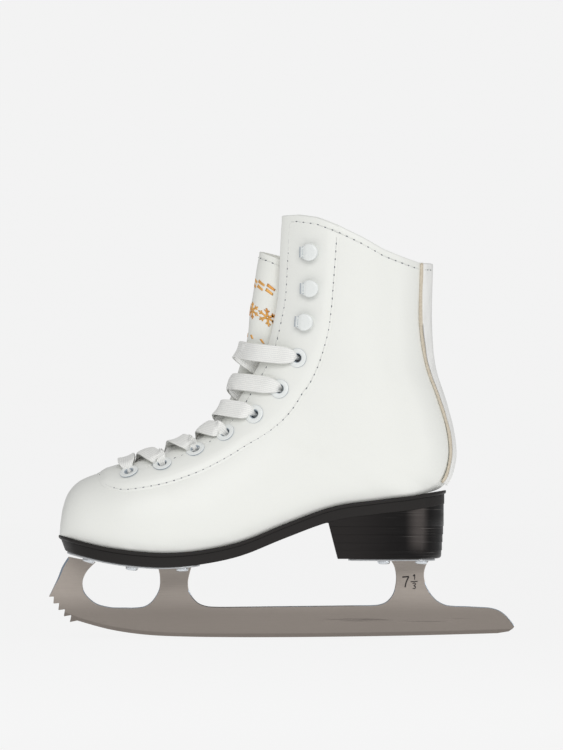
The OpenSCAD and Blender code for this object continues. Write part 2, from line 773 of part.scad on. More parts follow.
// Height on the blade, stretched with its height
function rise(z) = z * blade_height / 35.1;
function plate_under(x) = sole_bottom(x * sx) - plate_t;
rocker_x = -19;
PICKS = [for (i = [0:4]) let (t = i / 4) [-118.4 + 8.6 * t + 2.1 * t * t, 20.7 - 14.2 * t + 1.25 * t * t]];
blade_outline = concat(
    smooth([[-108.5, 41], [-111.6, 36], [-114.2, 29.5], [-118.4, 20.7]], 3),
    [
        for (i = [0:3]) each [
            PICKS[i],
            PICKS[i] + [2.6 + 0.4 * i, 0.16 * i]
        ],
        PICKS[4]
    ],
    smooth([[-104, 8.5], [-87, 3.9], [-68, 1.2], [-45, 0.25], [rocker_x, 0]], 4),
    [for (x = [10, 40, 65, 90, 110]) [x, pow(x - rocker_x, 2) / (2 * rocker_r)]],
    smooth([[115.6, 3], [118.4, 5.2], [116.2, 9.2], [111.9, 13.2], [106, 15.2]], 4),
    smooth([[84, 16.2], [78.4, 19.4], [74.3, 24.8], [72.5, 31], [73.3, 36], [75, 39.6]], 3),
    smooth([[55.8, 39.6], [57.6, 35.4], [58.3, 29.5], [57, 22.8], [54, 18.4], [49, 16.5]], 3),
    smooth([[-37, 15.4], [-42.8, 17.6], [-46.6, 22.6], [-47.6, 28.5], [-45.6, 37]], 3),
    smooth([[-63.2, 37], [-61.9, 31], [-62.3, 24.6], [-66, 18.4], [-72.5, 15]], 3),
    smooth([[-88, 15.7], [-95.2, 17.6], [-100, 22.4], [-101.3, 28], [-99, 33.6], [-93.6, 39.4]], 3)
);
module blade() {
    color([0.6, 0.57, 0.54])
        difference() {
            translate([0, blade_t / 2, 0])
                rotate([90, 0, 0])
                    linear_extrude(height = blade_t)
                        polygon([for (q = blade_outline) [q[0] * sx, rise(q[1])]]);
            tread_band(-60, glue_gap + sole_t + plate_t, -130 * sx, 0);
            translate([0, -10, heel_plate_z])
                cube([130 * sx, 20, 40]);
        }
}

// ---- eyelets and hooks ----
flange_t = 0.9;
stack_top = overlay_gap + overlay_t;
clinch_clear = 0.35;
module eyelets(side) {
    inner_end = -lining_depth - stack_top - clinch_clear;
    color([0.95, 0.96, 0.97])
        for (e = EYELETS)
            on_skin(e[0], e[1], side, stack_top)
                rotate_extrude($fn = 40)
                    polygon([
                        [eyelet_hole / 2, inner_end - 0.6],
                        [barrel_d / 2 + 1.1, inner_end - 0.6],
                        [barrel_d / 2 + 1.1, inner_end - 0.1],
                        [barrel_d / 2, inner_end - 0.1],
                        [barrel_d / 2, 0],
                        [eyelet_flange / 2, 0],
                        [eyelet_flange / 2, flange_t * 0.4],
                        [eyelet_flange / 2 - 0.8, flange_t * 0.9],
                        [barrel_d / 2 + 0.5, flange_t],
                        [eyelet_hole / 2, flange_t * 0.5]
                    ]);
}
hook_base_t = 0.8;
hook_slot = 1.9;
hook_head_t = 1.1;
hook_bend = 1.6;
module hook_outline(length, width, h) {
    union() {
        translate([width / 2 - length / 2, 0, 0])
            cylinder(h = h, d = width, $fn = 40);
        translate([width / 2 - length / 2, -width * 0.39, 0])
            cube([length - width / 2, width * 0.78, h]);
    }
}
module hooks(side) {
    total = hook_base_t + hook_slot + hook_head_t;
    color([0.95, 0.96, 0.97])
        for (h = HOOKS)
            on_skin(h[0], h[1], side, stack_top)
                rotate([0, 0, side > 0 ? 90 : -90])
                    mirror([1, 0, 0])
                        difference() {
                            hook_outline(hook_length, hook_width, total);
                            translate([-hook_length, -hook_width, hook_base_t])
                                cube([1.5 * hook_length - hook_bend, 2 * hook_width, hook_slot]);
                            translate([0, 0, -1])
                                cylinder(h = hook_base_t + 2, d = rivet_d, $fn = 32);
                        }
}
module hook_rivets(side) {
    inner_end = -lining_depth - stack_top - clinch_clear;
    color([0.8, 0.8, 0.8])
        for (h = HOOKS)
            on_skin(h[0], h[1], side, stack_top) {
                translate([0, 0, inner_end])
                    cylinder(h = hook_base_t - inner_end, d = rivet_d, $fn = 32);
                translate([0, 0, inner_end - 0.6])
                    cylinder(h = 0.6, d = rivet_d + 2.6, $fn = 32);
                translate([0, 0, hook_base_t])
                    cylinder(h = 0.5, d = rivet_d + 1.6, $fn = 32);
            }
}

// ---- lace: a straight bar at the toe, then each half crosses to the next eyelets ----
// A place on the lace is [row, p, side, depth, width share]
bar_clear = 1;
lace_under = -lining_depth - 1.3 - lace_t / 2;
over_edge = stack_top + flange_t + 0.9;
function down_hole(k, side) =
    let (e = EYELETS[k])
    [
        [e[0], e[1] + 0.004, side, stack_top + flange_t + 0.3, 0.36],
        [e[0], e[1], side, -1.6, 0.3],
        [e[0], e[1], side, lace_under - 0.1, 0.34]
    ];
function crossing(k, side, high) =
    let (
        a = EYELETS[k],
        b = EYELETS[k + 1],
        mid = (a[0] + b[0]) / 2,
        top = max(1.25 * table(TONGUE_RISE, mid) + 0.2, -1.2),
        edge_a = throat(a[0] + 0.3),
        edge_b = throat(b[0] - 0.3)
    )
    [
        [a[0] + 0.22 * (b[0] - a[0]), edge_a, side, lace_under, 0.85],
        [a[0] + 0.38 * (b[0] - a[0]), edge_a + 0.62 * (1 - edge_a), side, top - 0.6 + high / 2, 1],
        [mid, 0.9995, side, top + 1.2 + high, 1],
        [a[0] + 0.62 * (b[0] - a[0]), edge_b + 0.024, -side, max(over_edge, top + 0.9) + high / 2, 1],
        [a[0] + 0.86 * (b[0] - a[0]), (b[1] + edge_b) / 2, -side, over_edge, 0.85]
    ];
function half_lace(start_side) = [
    [EYELETS[0][0], 0.9995, start_side, over_edge + 0.4, 1],
    [EYELETS[0][0], 0.96, start_side, over_edge + 0.3, 0.95],
    each down_hole(0, start_side),
    for (k = [0:eyelet_count - 2])
        let (side = (k % 2 == 0 ? 1 : -1) * start_side)
        each concat(
            crossing(k, side, (k % 2 == 0) == (start_side > 0) ? 1.5 : 0),
            down_hole(k + 1, -side)
        )
];
function lace_ring(q, before, after, width, thick) =
    let (
        o = over(q[0], q[1], q[2], q[3]),
        t = unit(after - before),
        e = along_row(q[0], q[1], q[2]),
        w = unit(e - (e * t) * t),
        n = cross(t, w),
        half = width / 2 * q[4],
        fat = thick / 2 * (1 + 0.9 * (1 - q[4]))
    )
    [
        for (c = [[1, 0.35], [0.8, 1], [-0.8, 1], [-1, 0.35], [-1, -0.35], [-0.8, -1], [0.8, -1], [1, -0.35]])
            o + w * half * c[0] + n * fat * c[1]
    ];
module tube(rings) {
    count = len(rings);
    sides = len(rings[0]);
    polyhedron(
        points = [for (ring = rings) each ring],
        faces = [
            [for (j = [0:sides - 1]) j],
            [for (j = [sides - 1:-1:0]) (count - 1) * sides + j],
            for (i = [0:count - 2], j = [0:sides - 1])
                let (m = (j + 1) % sides)
                each [
                    [i * sides + j, (i + 1) * sides + j, (i + 1) * sides + m],
                    [i * sides + j, (i + 1) * sides + m, i * sides + m]
                ]
        ]
    );
}
lace_places = concat(
    backwards(half_lace(-1)),
    [for (i = [1:len(half_lace(1)) - 1]) half_lace(1)[i]]
);
module lace() {
    at = [for (q = lace_places) over(q[0], q[1], q[2], q[3])];
    last = len(at) - 1;
    color([0.97, 0.97, 0.97])
        tube([
            for (i = [0:last])
                lace_ring(lace_places[i], at[max(i - 1, 0)], at[min(i + 1, last)], lace_width, lace_t)
        ]);
}

// ---- the lace's free ends, put away inside the boot: each runs down from its last eyelet
// and is wound on edge into a coil of two layers on the heel seat ----
coil_x = 49;
coil_inner = 14;
coil_outer = 18.6;
coil_gap = 0.3;
coil_height = 2 * lace_width + coil_gap;
coil_tilt = atan((tread_z((coil_x + 15) * sx) - tread_z((coil_x - 15) * sx)) / (30 * sx));
coil_floor = tread_z(coil_x * sx) + lining_depth + footbed_gap + footbed_t + 0.6;
module on_coil(side) {
    translate([coil_x * sx, 0, coil_floor])
        rotate([0, -coil_tilt, 0])
            translate([0, 0, side < 0 ? 0 : coil_height + coil_gap])
                children();
}
module lace_coil(side) {
    color([0.97, 0.97, 0.97])
        on_coil(side)
            difference() {
                cylinder(h = coil_height, r = coil_outer, $fn = 64);
                translate([0, 0, -1])
                    cylinder(h = coil_height + 2, r = coil_inner, $fn = 64);
            }
}
FREE_LEFT = [
    [15, -17, 131], [21, -17, 118], [25.5, -18, 106], [29, -18.8, 98], [33, -19.4, 93],
    [38.4, -19.6, 90.8]
];
FREE_RIGHT = [
    [15, 17, 131], [20, 17, 122], [24.5, 18, 115.5], [29, 18.7, 111.5], [33, 19.2, 109.8],
    [37.2, 19.4, 109.4]
];
function stretched(q) = [q[0] * sx, q[1] * sy, up(q[2])];
function flat_ring(o, t, width, thick) =
    let (w = unit(cross(t, [0, 1, 0])), n = cross(t, w))
    [
        for (c = [[1, 0.35], [0.8, 1], [-0.8, 1], [-1, 0.35], [-1, -0.35], [-0.8, -1], [0.8, -1], [1, -0.35]])
            o + w * width / 2 * c[0] + n * thick / 2 * c[1]
    ];
module lace_end(side) {
    q = down_hole(eyelet_count - 1, side)[2];
    start = over(q[0], q[1], q[2], q[3] - 1.2);
    route = smooth(concat([start], [for (p = side < 0 ? FREE_LEFT : FREE_RIGHT) stretched(p)]), 2);
    last = len(route) - 1;
    color([0.97, 0.97, 0.97])
        tube([
            for (i = [0:last])
                flat_ring(
                    route[i], unit(route[min(i + 1, last)] - route[max(i - 1, 0)]),
                    i == 0 ? lace_width * 0.4 : lace_width, lace_t
                )
        ]);
}
aglet_d = 2.6;
aglet_length = 17;
aglet_off = 7;
module aglet(side) {
    color([0.9, 0.9, 0.9])
        on_coil(side)
            translate([-aglet_length / 2, side * aglet_off, coil_height - lace_width / 2])
                rotate([0, 90, 0])
                    cylinder(h = aglet_length, d = aglet_d, $fn = 24);
}

upper();
eyestay();
backstay();
heel_counter();
toe_puff();
ankle_padding();
lining();
insole_board();
footbed();
tongue_base();
tongue_top();
welt();
sole_filler();
shank();
outsole();
heel_wedge();
heel_lift(1);  // heel_lift_1
heel_lift(2);  // heel_lift_2
heel_lift(3);  // heel_lift_3
heel_top_piece();
heel_nails();
sole_plate();
heel_plate();
blade();
sole_plate_screws();
heel_plate_screws();
eyelets(-1);  // eyelets_left
eyelets(1);  // eyelets_right
hooks(-1);  // hooks_left
hooks(1);  // hooks_right
hook_rivets(-1);  // hook_rivets_left
hook_rivets(1);  // hook_rivets_right
lace();
lace_end(-1);  // lace_end_left
lace_end(1);  // lace_end_right
lace_coil(-1);  // lace_coil_left
lace_coil(1);  // lace_coil_right
aglet(-1);  // aglet_left
aglet(1);  // aglet_right
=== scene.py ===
"""Dresses a child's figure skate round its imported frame: leather boot, laces, sole, heel and blade."""

import logging
import math
from dataclasses import dataclass, field
from enum import Enum
from typing import Any, Callable, Sequence

import bmesh
import bpy
import numpy as np
from mathutils import Euler, Matrix, Vector


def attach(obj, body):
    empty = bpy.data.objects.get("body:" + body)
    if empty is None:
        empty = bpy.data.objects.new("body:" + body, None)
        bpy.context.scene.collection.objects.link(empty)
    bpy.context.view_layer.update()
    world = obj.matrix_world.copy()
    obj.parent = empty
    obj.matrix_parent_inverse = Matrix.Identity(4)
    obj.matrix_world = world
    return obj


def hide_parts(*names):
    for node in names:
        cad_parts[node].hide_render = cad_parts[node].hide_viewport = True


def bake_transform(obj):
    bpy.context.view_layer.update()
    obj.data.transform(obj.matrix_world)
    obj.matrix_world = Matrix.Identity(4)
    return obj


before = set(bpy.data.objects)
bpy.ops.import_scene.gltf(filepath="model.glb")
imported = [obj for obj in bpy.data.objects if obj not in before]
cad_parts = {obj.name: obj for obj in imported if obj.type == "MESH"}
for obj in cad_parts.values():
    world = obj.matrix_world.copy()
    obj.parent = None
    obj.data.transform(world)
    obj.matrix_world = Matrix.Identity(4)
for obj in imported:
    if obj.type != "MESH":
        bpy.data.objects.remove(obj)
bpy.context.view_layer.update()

Array = np.ndarray
Colour = tuple[float, float, float, float]
MM = 0.001
OUTER, INNER = -1, 1
LOG = logging.getLogger("skate")


class Body(Enum):
    """The bodies that the pieces ride on."""

    BOOT = "boot"
    TONGUE = "tongue_flap"


# ---------------------------------------------------------------- sums on points
def unit(v: Array) -> Array:
    """Vectors at length one."""
    return v / np.maximum(np.linalg.norm(v, axis=-1, keepdims=True), 1e-12)


def ease(t: Array) -> Array:
    """A smooth step from 0 to 1."""
    t = np.clip(t, 0, 1)
    return t * t * (3 - 2 * t)


def around(steps: int) -> Array:
    """Angles once round a circle."""
    return np.linspace(0, 2 * math.pi, steps, endpoint=False)


def through(points: Sequence[Sequence[float]], steps: int, closed: bool = False) -> Array:
    """A smooth line through points.

    Args:
        points: the points it passes.
        steps: how many steps it takes from each to the next.
        closed: whether it comes back to the first.

    Returns:
        The line's points, one row each.
    """
    q = np.asarray(points, float)
    n = len(q)
    if closed:
        a, b, c, d = (np.roll(q, k, 0) for k in (1, 0, -1, -2))
    else:
        ext = np.vstack([q[:1], q, q[-1:]])
        a, b, c, d = (ext[k : k + n - 1] for k in range(4))
    t = (np.arange(steps) / steps)[None, :, None]
    a, b, c, d = (v[:, None, :] for v in (a, b, c, d))
    out = 0.5 * (2 * b + (c - a) * t + (2 * a - 5 * b + 4 * c - d) * t**2 + (3 * b - a - 3 * c + d) * t**3)
    out = out.reshape(-1, q.shape[1])
    return out if closed else np.vstack([out, q[-1:]])


def lengths(line: Array) -> Array:
    """Distance along a line at each of its points."""
    return np.concatenate([[0], np.cumsum(np.linalg.norm(np.diff(line, axis=0), axis=1))])


def sampled(line: Array, far: Array, places: Any) -> Array:
    """A line's rows at other distances along it, where far holds the distance of each of its own."""
    return np.stack([np.interp(places, far, line[:, k]) for k in range(line.shape[1])], -1)


def ripple(at: Array, pitch: float, seed: int, waves: int = 7) -> Array:
    """Soft unevenness in space.

    Args:
        at: points, in millimetres.
        pitch: the usual distance from crest to crest, in millimetres.
        seed: the seed of its directions.
        waves: how many plane waves it adds up.

    Returns:
        A value from about -1 to 1 for each point.
    """
    rng = np.random.default_rng(seed)
    ways = unit(rng.normal(size=(waves, 3))) * (2 * math.pi / pitch) * rng.uniform(0.6, 1.5, (waves, 1))
    return np.sin(at @ ways.T + rng.uniform(0, 6.28, waves)).sum(-1) / math.sqrt(waves)


# ---------------------------------------------------------------- meshes
def face_outwards(work: bmesh.types.BMesh) -> None:
    """Turns the faces of every closed part outwards, by the sign of its volume."""
    bmesh.ops.recalc_face_normals(work, faces=work.faces)
    seen: set[bmesh.types.BMFace] = set()
    for first in work.faces:
        if first in seen:
            continue
        part, queue = [], [first]
        seen.add(first)
        while queue:
            face = queue.pop()
            part.append(face)
            for edge in face.edges:
                for other in edge.link_faces:
                    if other not in seen:
                        seen.add(other)
                        queue.append(other)
        mid = first.calc_center_median()
        size = sum((f.calc_center_median() - mid).dot(f.normal) * f.calc_area() for f in part)
        if size < 0:
            bmesh.ops.reverse_faces(work, faces=part)


@dataclass
class Draft:
    """Points and faces of a piece before it is a mesh, in millimetres."""

    points: list[Array] = field(default_factory=list)
    faces: list[tuple[int, ...]] = field(default_factory=list)
    slots: list[int] = field(default_factory=list)
    count: int = 0

    def add(self, points: Array, faces: Sequence[Sequence[int]], slot: int = 0) -> None:
        """Adds points and the faces on them, which take a material slot."""
        self.points.append(np.asarray(points, float).reshape(-1, 3))
        self.faces += [tuple(int(i) + self.count for i in f) for f in faces]
        self.slots += [slot] * len(faces)
        self.count += len(self.points[-1])

    def rings(self, rings: Array, closed: bool = False, caps: bool = True, slot: int = 0) -> None:
        """Adds a tube.

        Args:
            rings: its rings of points, in order.
            closed: whether the last ring joins the first.
            caps: whether its two ends are filled.
            slot: its material slot.
        """
        n, m = rings.shape[:2]
        rows = range(n if closed else n - 1)
        faces: list[tuple[int, ...]] = [
            (i * m + j, (i + 1) % n * m + j, (i + 1) % n * m + (j + 1) % m, i * m + (j + 1) % m)
            for i in rows
            for j in range(m)
        ]
        if caps and not closed:
            faces += [tuple(range(m)), tuple(range(n * m - 1, (n - 1) * m - 1, -1))]
        self.add(rings, faces, slot)

    def build(self, name: str, *finishes: "Finish", merge: float = 1e-3, sharp: float = 0.0) -> bpy.types.Object:
        """Makes the mesh, closes its seams and turns its faces outwards.

        Args:
            name: the piece's name.
            finishes: a finish for each material slot.
            merge: points nearer than this, in millimetres, become one.
            sharp: the angle in degrees past which an edge is sharp, or 0 for smooth all over.

        Returns:
            The piece, at the origin.
        """
        mesh = bpy.data.meshes.new(name)
        mesh.from_pydata((np.vstack(self.points) * MM).tolist(), [], self.faces)
        mesh.polygons.foreach_set("material_index", self.slots)
        work = bmesh.new()
        work.from_mesh(mesh)
        bmesh.ops.remove_doubles(work, verts=work.verts, dist=merge * MM)
        bmesh.ops.dissolve_degenerate(work, edges=work.edges, dist=merge * MM)
        bmesh.ops.delete(work, geom=[v for v in work.verts if not v.link_faces], context="VERTS")
        face_outwards(work)
        work.to_mesh(mesh)
        work.free()
        mesh.polygons.foreach_set("use_smooth", [True] * len(mesh.polygons))
        if sharp:
            mesh.set_sharp_from_angle(angle=math.radians(sharp))
        made = bpy.data.objects.new(name, mesh)
        bpy.context.scene.collection.objects.link(made)
        for f in finishes:
            mesh.materials.append(f.material())
        return made


def shell(
    draft: Draft,
    outer: Array,
    inner: Array,
    joined_start: int = 0,
    joined_end: int = 0,
    bulge: Array | None = None,
    end_slot: int = 0,
    steps: int = 3,
) -> None:
    """Adds a wall between two grids, with rounded rims.

    Args:
        draft: takes the wall.
        outer: the outer grid of points, rows by columns.
        inner: the inner grid, of the same size.
        joined_start: rows before this have no rim at their first column, because it meets another.
        joined_end: the same for the last column.
        bulge: how far each row's side rims stand out, or None for half the wall.
        end_slot: the material slot of the side rims.
        steps: how many steps round a rim.
    """
    cols = outer.shape[1]
    turn = np.linspace(0, math.pi, steps + 2)[1:-1]

    def rim(near: Array, far: Array, back: Array) -> Array:
        """Points round a rim from one edge line to the other, away from the line behind it."""
        mid, half = (near + far) / 2, (near - far) / 2
        out = unit(near - back)
        size = np.linalg.norm(half, axis=-1, keepdims=True)
        size = size if bulge is None else np.minimum(size, bulge[:, None])
        return mid[:, None] + half[:, None] * np.cos(turn)[None, :, None] + (
            (out * size)[:, None] * np.sin(turn)[None, :, None]
        )

    last = rim(outer[:, -1], inner[:, -1], outer[:, -2])
    first = rim(inner[:, 0], outer[:, 0], inner[:, 1])
    loops = np.concatenate([outer, last, inner[:, ::-1], first], axis=1)

    def cap(edge: int, behind: int) -> list[Array]:
        """The rows that close an end, in a half circle from both faces to the middle."""
        out = unit(outer[edge] - outer[behind])
        for k, meets in ((0, joined_start), (-1, joined_end)):
            if meets and edge == 0:
                out[k] = unit(out[k] * [1, 0, 1])
        way = np.concatenate(
            [out, np.repeat(out[-1:], steps, 0), out[::-1], np.repeat(out[:1], steps, 0)], axis=0
        )
        partner = np.concatenate([inner[edge], last[edge][::-1], outer[edge][::-1], first[edge][::-1]], axis=0)
        mid, half = (loops[edge] + partner) / 2, (loops[edge] - partner) / 2
        size = np.linalg.norm(half, axis=-1, keepdims=True)
        return [mid + half * math.cos(a) + way * size * math.sin(a) for a in np.linspace(0, math.pi / 2, steps + 1)[1:]]

    ends = cap(-1, -2)
    starts = cap(0, 1)[::-1] if np.ptp(outer[0], axis=0).max() > 1e-6 else []
    grid = np.stack([*starts, *loops, *ends])
    n, m = grid.shape[:2]
    lead = len(starts)
    faces: list[tuple[int, ...]] = []
    slots: list[int] = []
    for i in range(n - 1):
        row = i - lead
        for j in range(m):
            on_end = cols <= j + 1 and j < cols + steps
            on_start = j >= 2 * cols + steps - 1
            if (on_end and joined_end and row < joined_end) or (on_start and joined_start and row < joined_start):
                continue
            k = (j + 1) % m
            faces.append((i * m + j, (i + 1) * m + j, (i + 1) * m + k, i * m + k))
            slots.append(end_slot if on_end or on_start else 0)
    draft.add(grid, faces)
    draft.slots[-len(slots) :] = slots


def tube(name: str, rings: Array, *finishes: "Finish", closed: bool = False, **how: float) -> bpy.types.Object:
    """A piece that is one tube.

    Args:
        name: the piece's name.
        rings: its rings of points, in order.
        finishes: its finishes.
        closed: whether the last ring joins the first, in place of two filled ends.
        how: how Draft.build merges its points and sharpens its edges.

    Returns:
        The piece.
    """
    draft = Draft()
    draft.rings(rings, closed)
    return draft.build(name, *finishes, **how)


def walled(name: str, outer: Array, inner: Array, *finishes: "Finish", **rims: Any) -> bpy.types.Object:
    """A piece that is one wall between two grids.

    Args:
        name: the piece's name.
        outer: its outer grid of points.
        inner: its inner grid.
        finishes: its finishes.
        rims: how shell rounds its rims.

    Returns:
        The piece.
    """
    draft = Draft()
    shell(draft, outer, inner, **rims)
    return draft.build(name, *finishes)


def finished(piece: bpy.types.Object, *mods: tuple[str, dict[str, Any]]) -> bpy.types.Object:
    """Puts modifiers on a piece and makes their result its plain mesh.

    Args:
        piece: the piece.
        mods: each modifier's type and settings, in order.

    Returns:
        The same piece.
    """
    for kind, settings in mods:
        mod = piece.modifiers.new(kind.title(), kind)
        for key, value in settings.items():
            setattr(mod, key, value)
    graph = bpy.context.evaluated_depsgraph_get()
    graph.update()
    mesh = bpy.data.meshes.new_from_object(piece.evaluated_get(graph), depsgraph=graph)
    piece.modifiers.clear()
    old, piece.data = piece.data, mesh
    bpy.data.meshes.remove(old)
    mesh.name = piece.name
    return piece


# ---------------------------------------------------------------- node trees
@dataclass
class Wire:
    """A node's output, on which sums are written as Python expressions."""

    graph: "Graph"
    socket: bpy.types.NodeSocket

    def __getitem__(self, name: str) -> "Wire":
        """Another output of the same node."""
        return Wire(self.graph, self.socket.node.outputs[name])

    def __add__(self, other: "Wire | float") -> "Wire":
        """Sum."""
        return self.graph.maths("ADD", self, other)

    def __radd__(self, other: float) -> "Wire":
        """Sum with a number on the left."""
        return self.graph.maths("ADD", other, self)

    def __sub__(self, other: "Wire | float") -> "Wire":
        """Difference."""
        return self.graph.maths("SUBTRACT", self, other)

    def __rsub__(self, other: float) -> "Wire":
        """Difference from a number."""
        return self.graph.maths("SUBTRACT", other, self)

    def __mul__(self, other: "Wire | float") -> "Wire":
        """Product."""
        return self.graph.maths("MULTIPLY", self, other)

    def __rmul__(self, other: float) -> "Wire":
        """Product with a number on the left."""
        return self.graph.maths("MULTIPLY", other, self)

    def __truediv__(self, other: "Wire | float") -> "Wire":
        """Quotient."""
        return self.graph.maths("DIVIDE", self, other)

    def __pow__(self, other: "Wire | float") -> "Wire":
        """Power."""
        return self.graph.maths("POWER", self, other)

    def held(self) -> "Wire":
        """The value kept from 0 to 1."""
        return self.graph.maths("ADD", self, 0.0, clamp=True)

    def over(self, low: float, high: float) -> "Wire":
        """0 below low, 1 above high and smooth between them."""
        return self.graph.node(
            "ShaderNodeMapRange",
            {"interpolation_type": "SMOOTHSTEP"},
            {"Value": self, "From Min": low, "From Max": high},
        )


@dataclass
class Graph:
    """A node tree that is being built."""

    tree: bpy.types.NodeTree

    def node(self, kind: str, settings: dict[str, Any] | None = None, inputs: dict[Any, Any] | None = None) -> Wire:
        """Adds a node.

        Args:
            kind: the node's type.
            settings: what is set on the node itself, with a ramp's stops under "stops".
            inputs: values or wires for its sockets, by name or number.

        Returns:
            Its first shown output.
        """
        made = self.tree.nodes.new(kind)
        for key, value in (settings or {}).items():
            if key == "stops":
                ramp = made.color_ramp.elements
                while len(ramp) < len(value):
                    ramp.new(0.5)
                for stop, (place, colour) in zip(ramp, value):
                    stop.position, stop.color = place, colour
            else:
                setattr(made, key, value)
        for key, value in (inputs or {}).items():
            if isinstance(value, Wire):
                self.tree.links.new(value.socket, made.inputs[key])
            else:
                made.inputs[key].default_value = value
        shown = [s for s in made.outputs if s.enabled]
        return Wire(self, shown[0] if shown else made.inputs[0])

    def maths(self, operation: str, a: "Wire | float", b: "Wire | float" = 0.0, clamp: bool = False) -> Wire:
        """A Math node on one or two values."""
        return self.node("ShaderNodeMath", {"operation": operation, "use_clamp": clamp}, {0: a, 1: b})

    def mix(self, share: "Wire | float", a: "Wire | Colour", b: "Wire | Colour") -> Wire:
        """A colour between two."""
        return self.node("ShaderNodeMix", {"data_type": "RGBA"}, {0: share, 6: a, 7: b})

    def place(
        self, scale: tuple[float, float, float] = (1, 1, 1), turn: tuple[float, float, float] = (0, 0, 0)
    ) -> Wire:
        """The place on the object in metres, stretched and turned."""
        at = self.node("ShaderNodeTexCoord")["Object"]
        return self.node("ShaderNodeMapping", None, {"Vector": at, "Scale": scale, "Rotation": turn})

    def noise(self, at: Wire, scale: float, detail: float = 2.0, rough: float = 0.5) -> Wire:
        """Noise from 0 to 1."""
        return self.node(
            "ShaderNodeTexNoise", None, {"Vector": at, "Scale": scale, "Detail": detail, "Roughness": rough}
        )

    def cells(self, at: Wire, scale: float, feature: str = "F1") -> Wire:
        """Distance in a cell pattern."""
        return self.node("ShaderNodeTexVoronoi", {"feature": feature}, {"Vector": at, "Scale": scale})["Distance"]

    def axes(self, at: Wire) -> tuple[Wire, Wire, Wire]:
        """The three parts of a place."""
        split = self.node("ShaderNodeSeparateXYZ", None, {0: at})
        return split["X"], split["Y"], split["Z"]

    def bump(self, height: Wire, depth: float, strength: float = 1.0, under: Wire | None = None) -> Wire:
        """A normal from a height, over another bump if there is one."""
        inputs: dict[str, Any] = {"Height": height, "Distance": depth, "Strength": strength}
        if under is not None:
            inputs["Normal"] = under
        return self.node("ShaderNodeBump", None, inputs)


def srgb(r: int, g: int, b: int) -> Colour:
    """A colour from its three display values, each 0 to 255."""
    return tuple((v / 255 / 12.92 if v < 11 else ((v / 255 + 0.055) / 1.055) ** 2.4) for v in (r, g, b)) + (1.0,)


# ---------------------------------------------------------------- finishes
@dataclass(frozen=True)
class Finish:
    """A surface finish, which is one material however many pieces have it."""

    name: str
    colour: Colour = (0.8, 0.8, 0.8, 1.0)
    rough: float = 0.5

    def material(self) -> bpy.types.Material:
        """The finish as a material, made the first time it is asked for."""
        known = bpy.data.materials.get(self.name)
        if known:
            return known
        made = bpy.data.materials.new(self.name)
        made.use_nodes = True
        made.node_tree.nodes.clear()
        graph = Graph(made.node_tree)
        shader = graph.node("ShaderNodeBsdfPrincipled")
        graph.node("ShaderNodeOutputMaterial", None, {"Surface": shader})
        inputs = shader.socket.node.inputs
        inputs["Base Color"].default_value = self.colour
        inputs["Roughness"].default_value = self.rough
        for key, value in self.paint(graph, inputs).items():
            made.node_tree.links.new(value.socket, inputs[key])
        return made

    def paint(self, g: Graph, inputs: Any) -> dict[str, Wire]:
        """What changes over the surface.

        Args:
            g: the material's tree.
            inputs: the shader's sockets, for values that are the same all over.

        Returns:
            A wire for each of the shader's sockets that has one.
        """
        return {}


@dataclass(frozen=True)
class Leather(Finish):
    """Smooth coated leather with a fine grain."""

    grain: float = 1.0
    soil: Colour = srgb(206, 205, 194)
    coat: float = 0.12

    def paint(self, g: Graph, inputs: Any) -> dict[str, Wire]:
        """Grain, faint clouds of tone and a soft gloss."""
        inputs["Coat Weight"].default_value = self.coat
        inputs["Coat Roughness"].default_value = 0.3
        inputs["Specular IOR Level"].default_value = 0.42
        at = g.place()
        clouds = g.noise(at, 34, 3)
        pores = g.cells(at, 1500)
        fine = g.noise(at, 2600, 2)
        colour = g.mix((clouds.over(0.55, 0.95) * 0.13 + pores.over(0.5, 0.9) * 0.03), self.colour, self.soil)
        rough = self.rough + (clouds - 0.5) * 0.12 + (fine - 0.5) * 0.06
        low = g.bump(g.noise(at, 120, 2), 0.0006, 0.12)
        return {
            "Base Color": colour,
            "Roughness": rough,
            "Normal": g.bump(pores * 0.6 + fine * 0.4, 0.00012 * self.grain, 0.3, low),
        }


@dataclass(frozen=True)
class CutLeather(Finish):
    """The raw cut edge of leather, with its fibres."""

    def paint(self, g: Graph, inputs: Any) -> dict[str, Wire]:
        """Fibres along the cut and darker flecks."""
        at = g.place((1, 1, 1))
        fibre = g.noise(at, 900, 4, 0.7)
        colour = g.mix(fibre.over(0.3, 0.8) * 0.6, self.colour, srgb(178, 166, 146))
        return {"Base Color": colour, "Normal": g.bump(fibre, 0.0002, 0.5)}


@dataclass(frozen=True)
class Woven(Finish):
    """A flat woven lace: ribs along it and the weft across, on the piece's own UV map in millimetres."""

    weft: float = 1.1

    def paint(self, g: Graph, inputs: Any) -> dict[str, Wire]:
        """Warp ribs, weft and slight fuzz."""
        inputs["Sheen Weight"].default_value = 0.15
        uv = g.node("ShaderNodeUVMap", {"uv_map": "weave"})
        u, v, _ = g.axes(uv)
        rib = g.maths("COSINE", v * (2 * math.pi))
        step = g.maths("SINE", u * (2 * math.pi / self.weft) + g.maths("SINE", v * (math.pi / 0.5)) * 1.6)
        fuzz = g.noise(g.place(), 3200, 2)
        height = rib * 0.35 + step * 0.3 + fuzz * 0.5
        shade = (0.5 - rib * 0.5) ** 2.0 * 0.3 + (0.5 - step * 0.5) * 0.08
        colour = g.mix(shade.held(), self.colour, srgb(196, 198, 200))
        return {"Base Color": colour, "Roughness": self.rough + fuzz * 0.1, "Normal": g.bump(height, 0.00012, 0.6)}


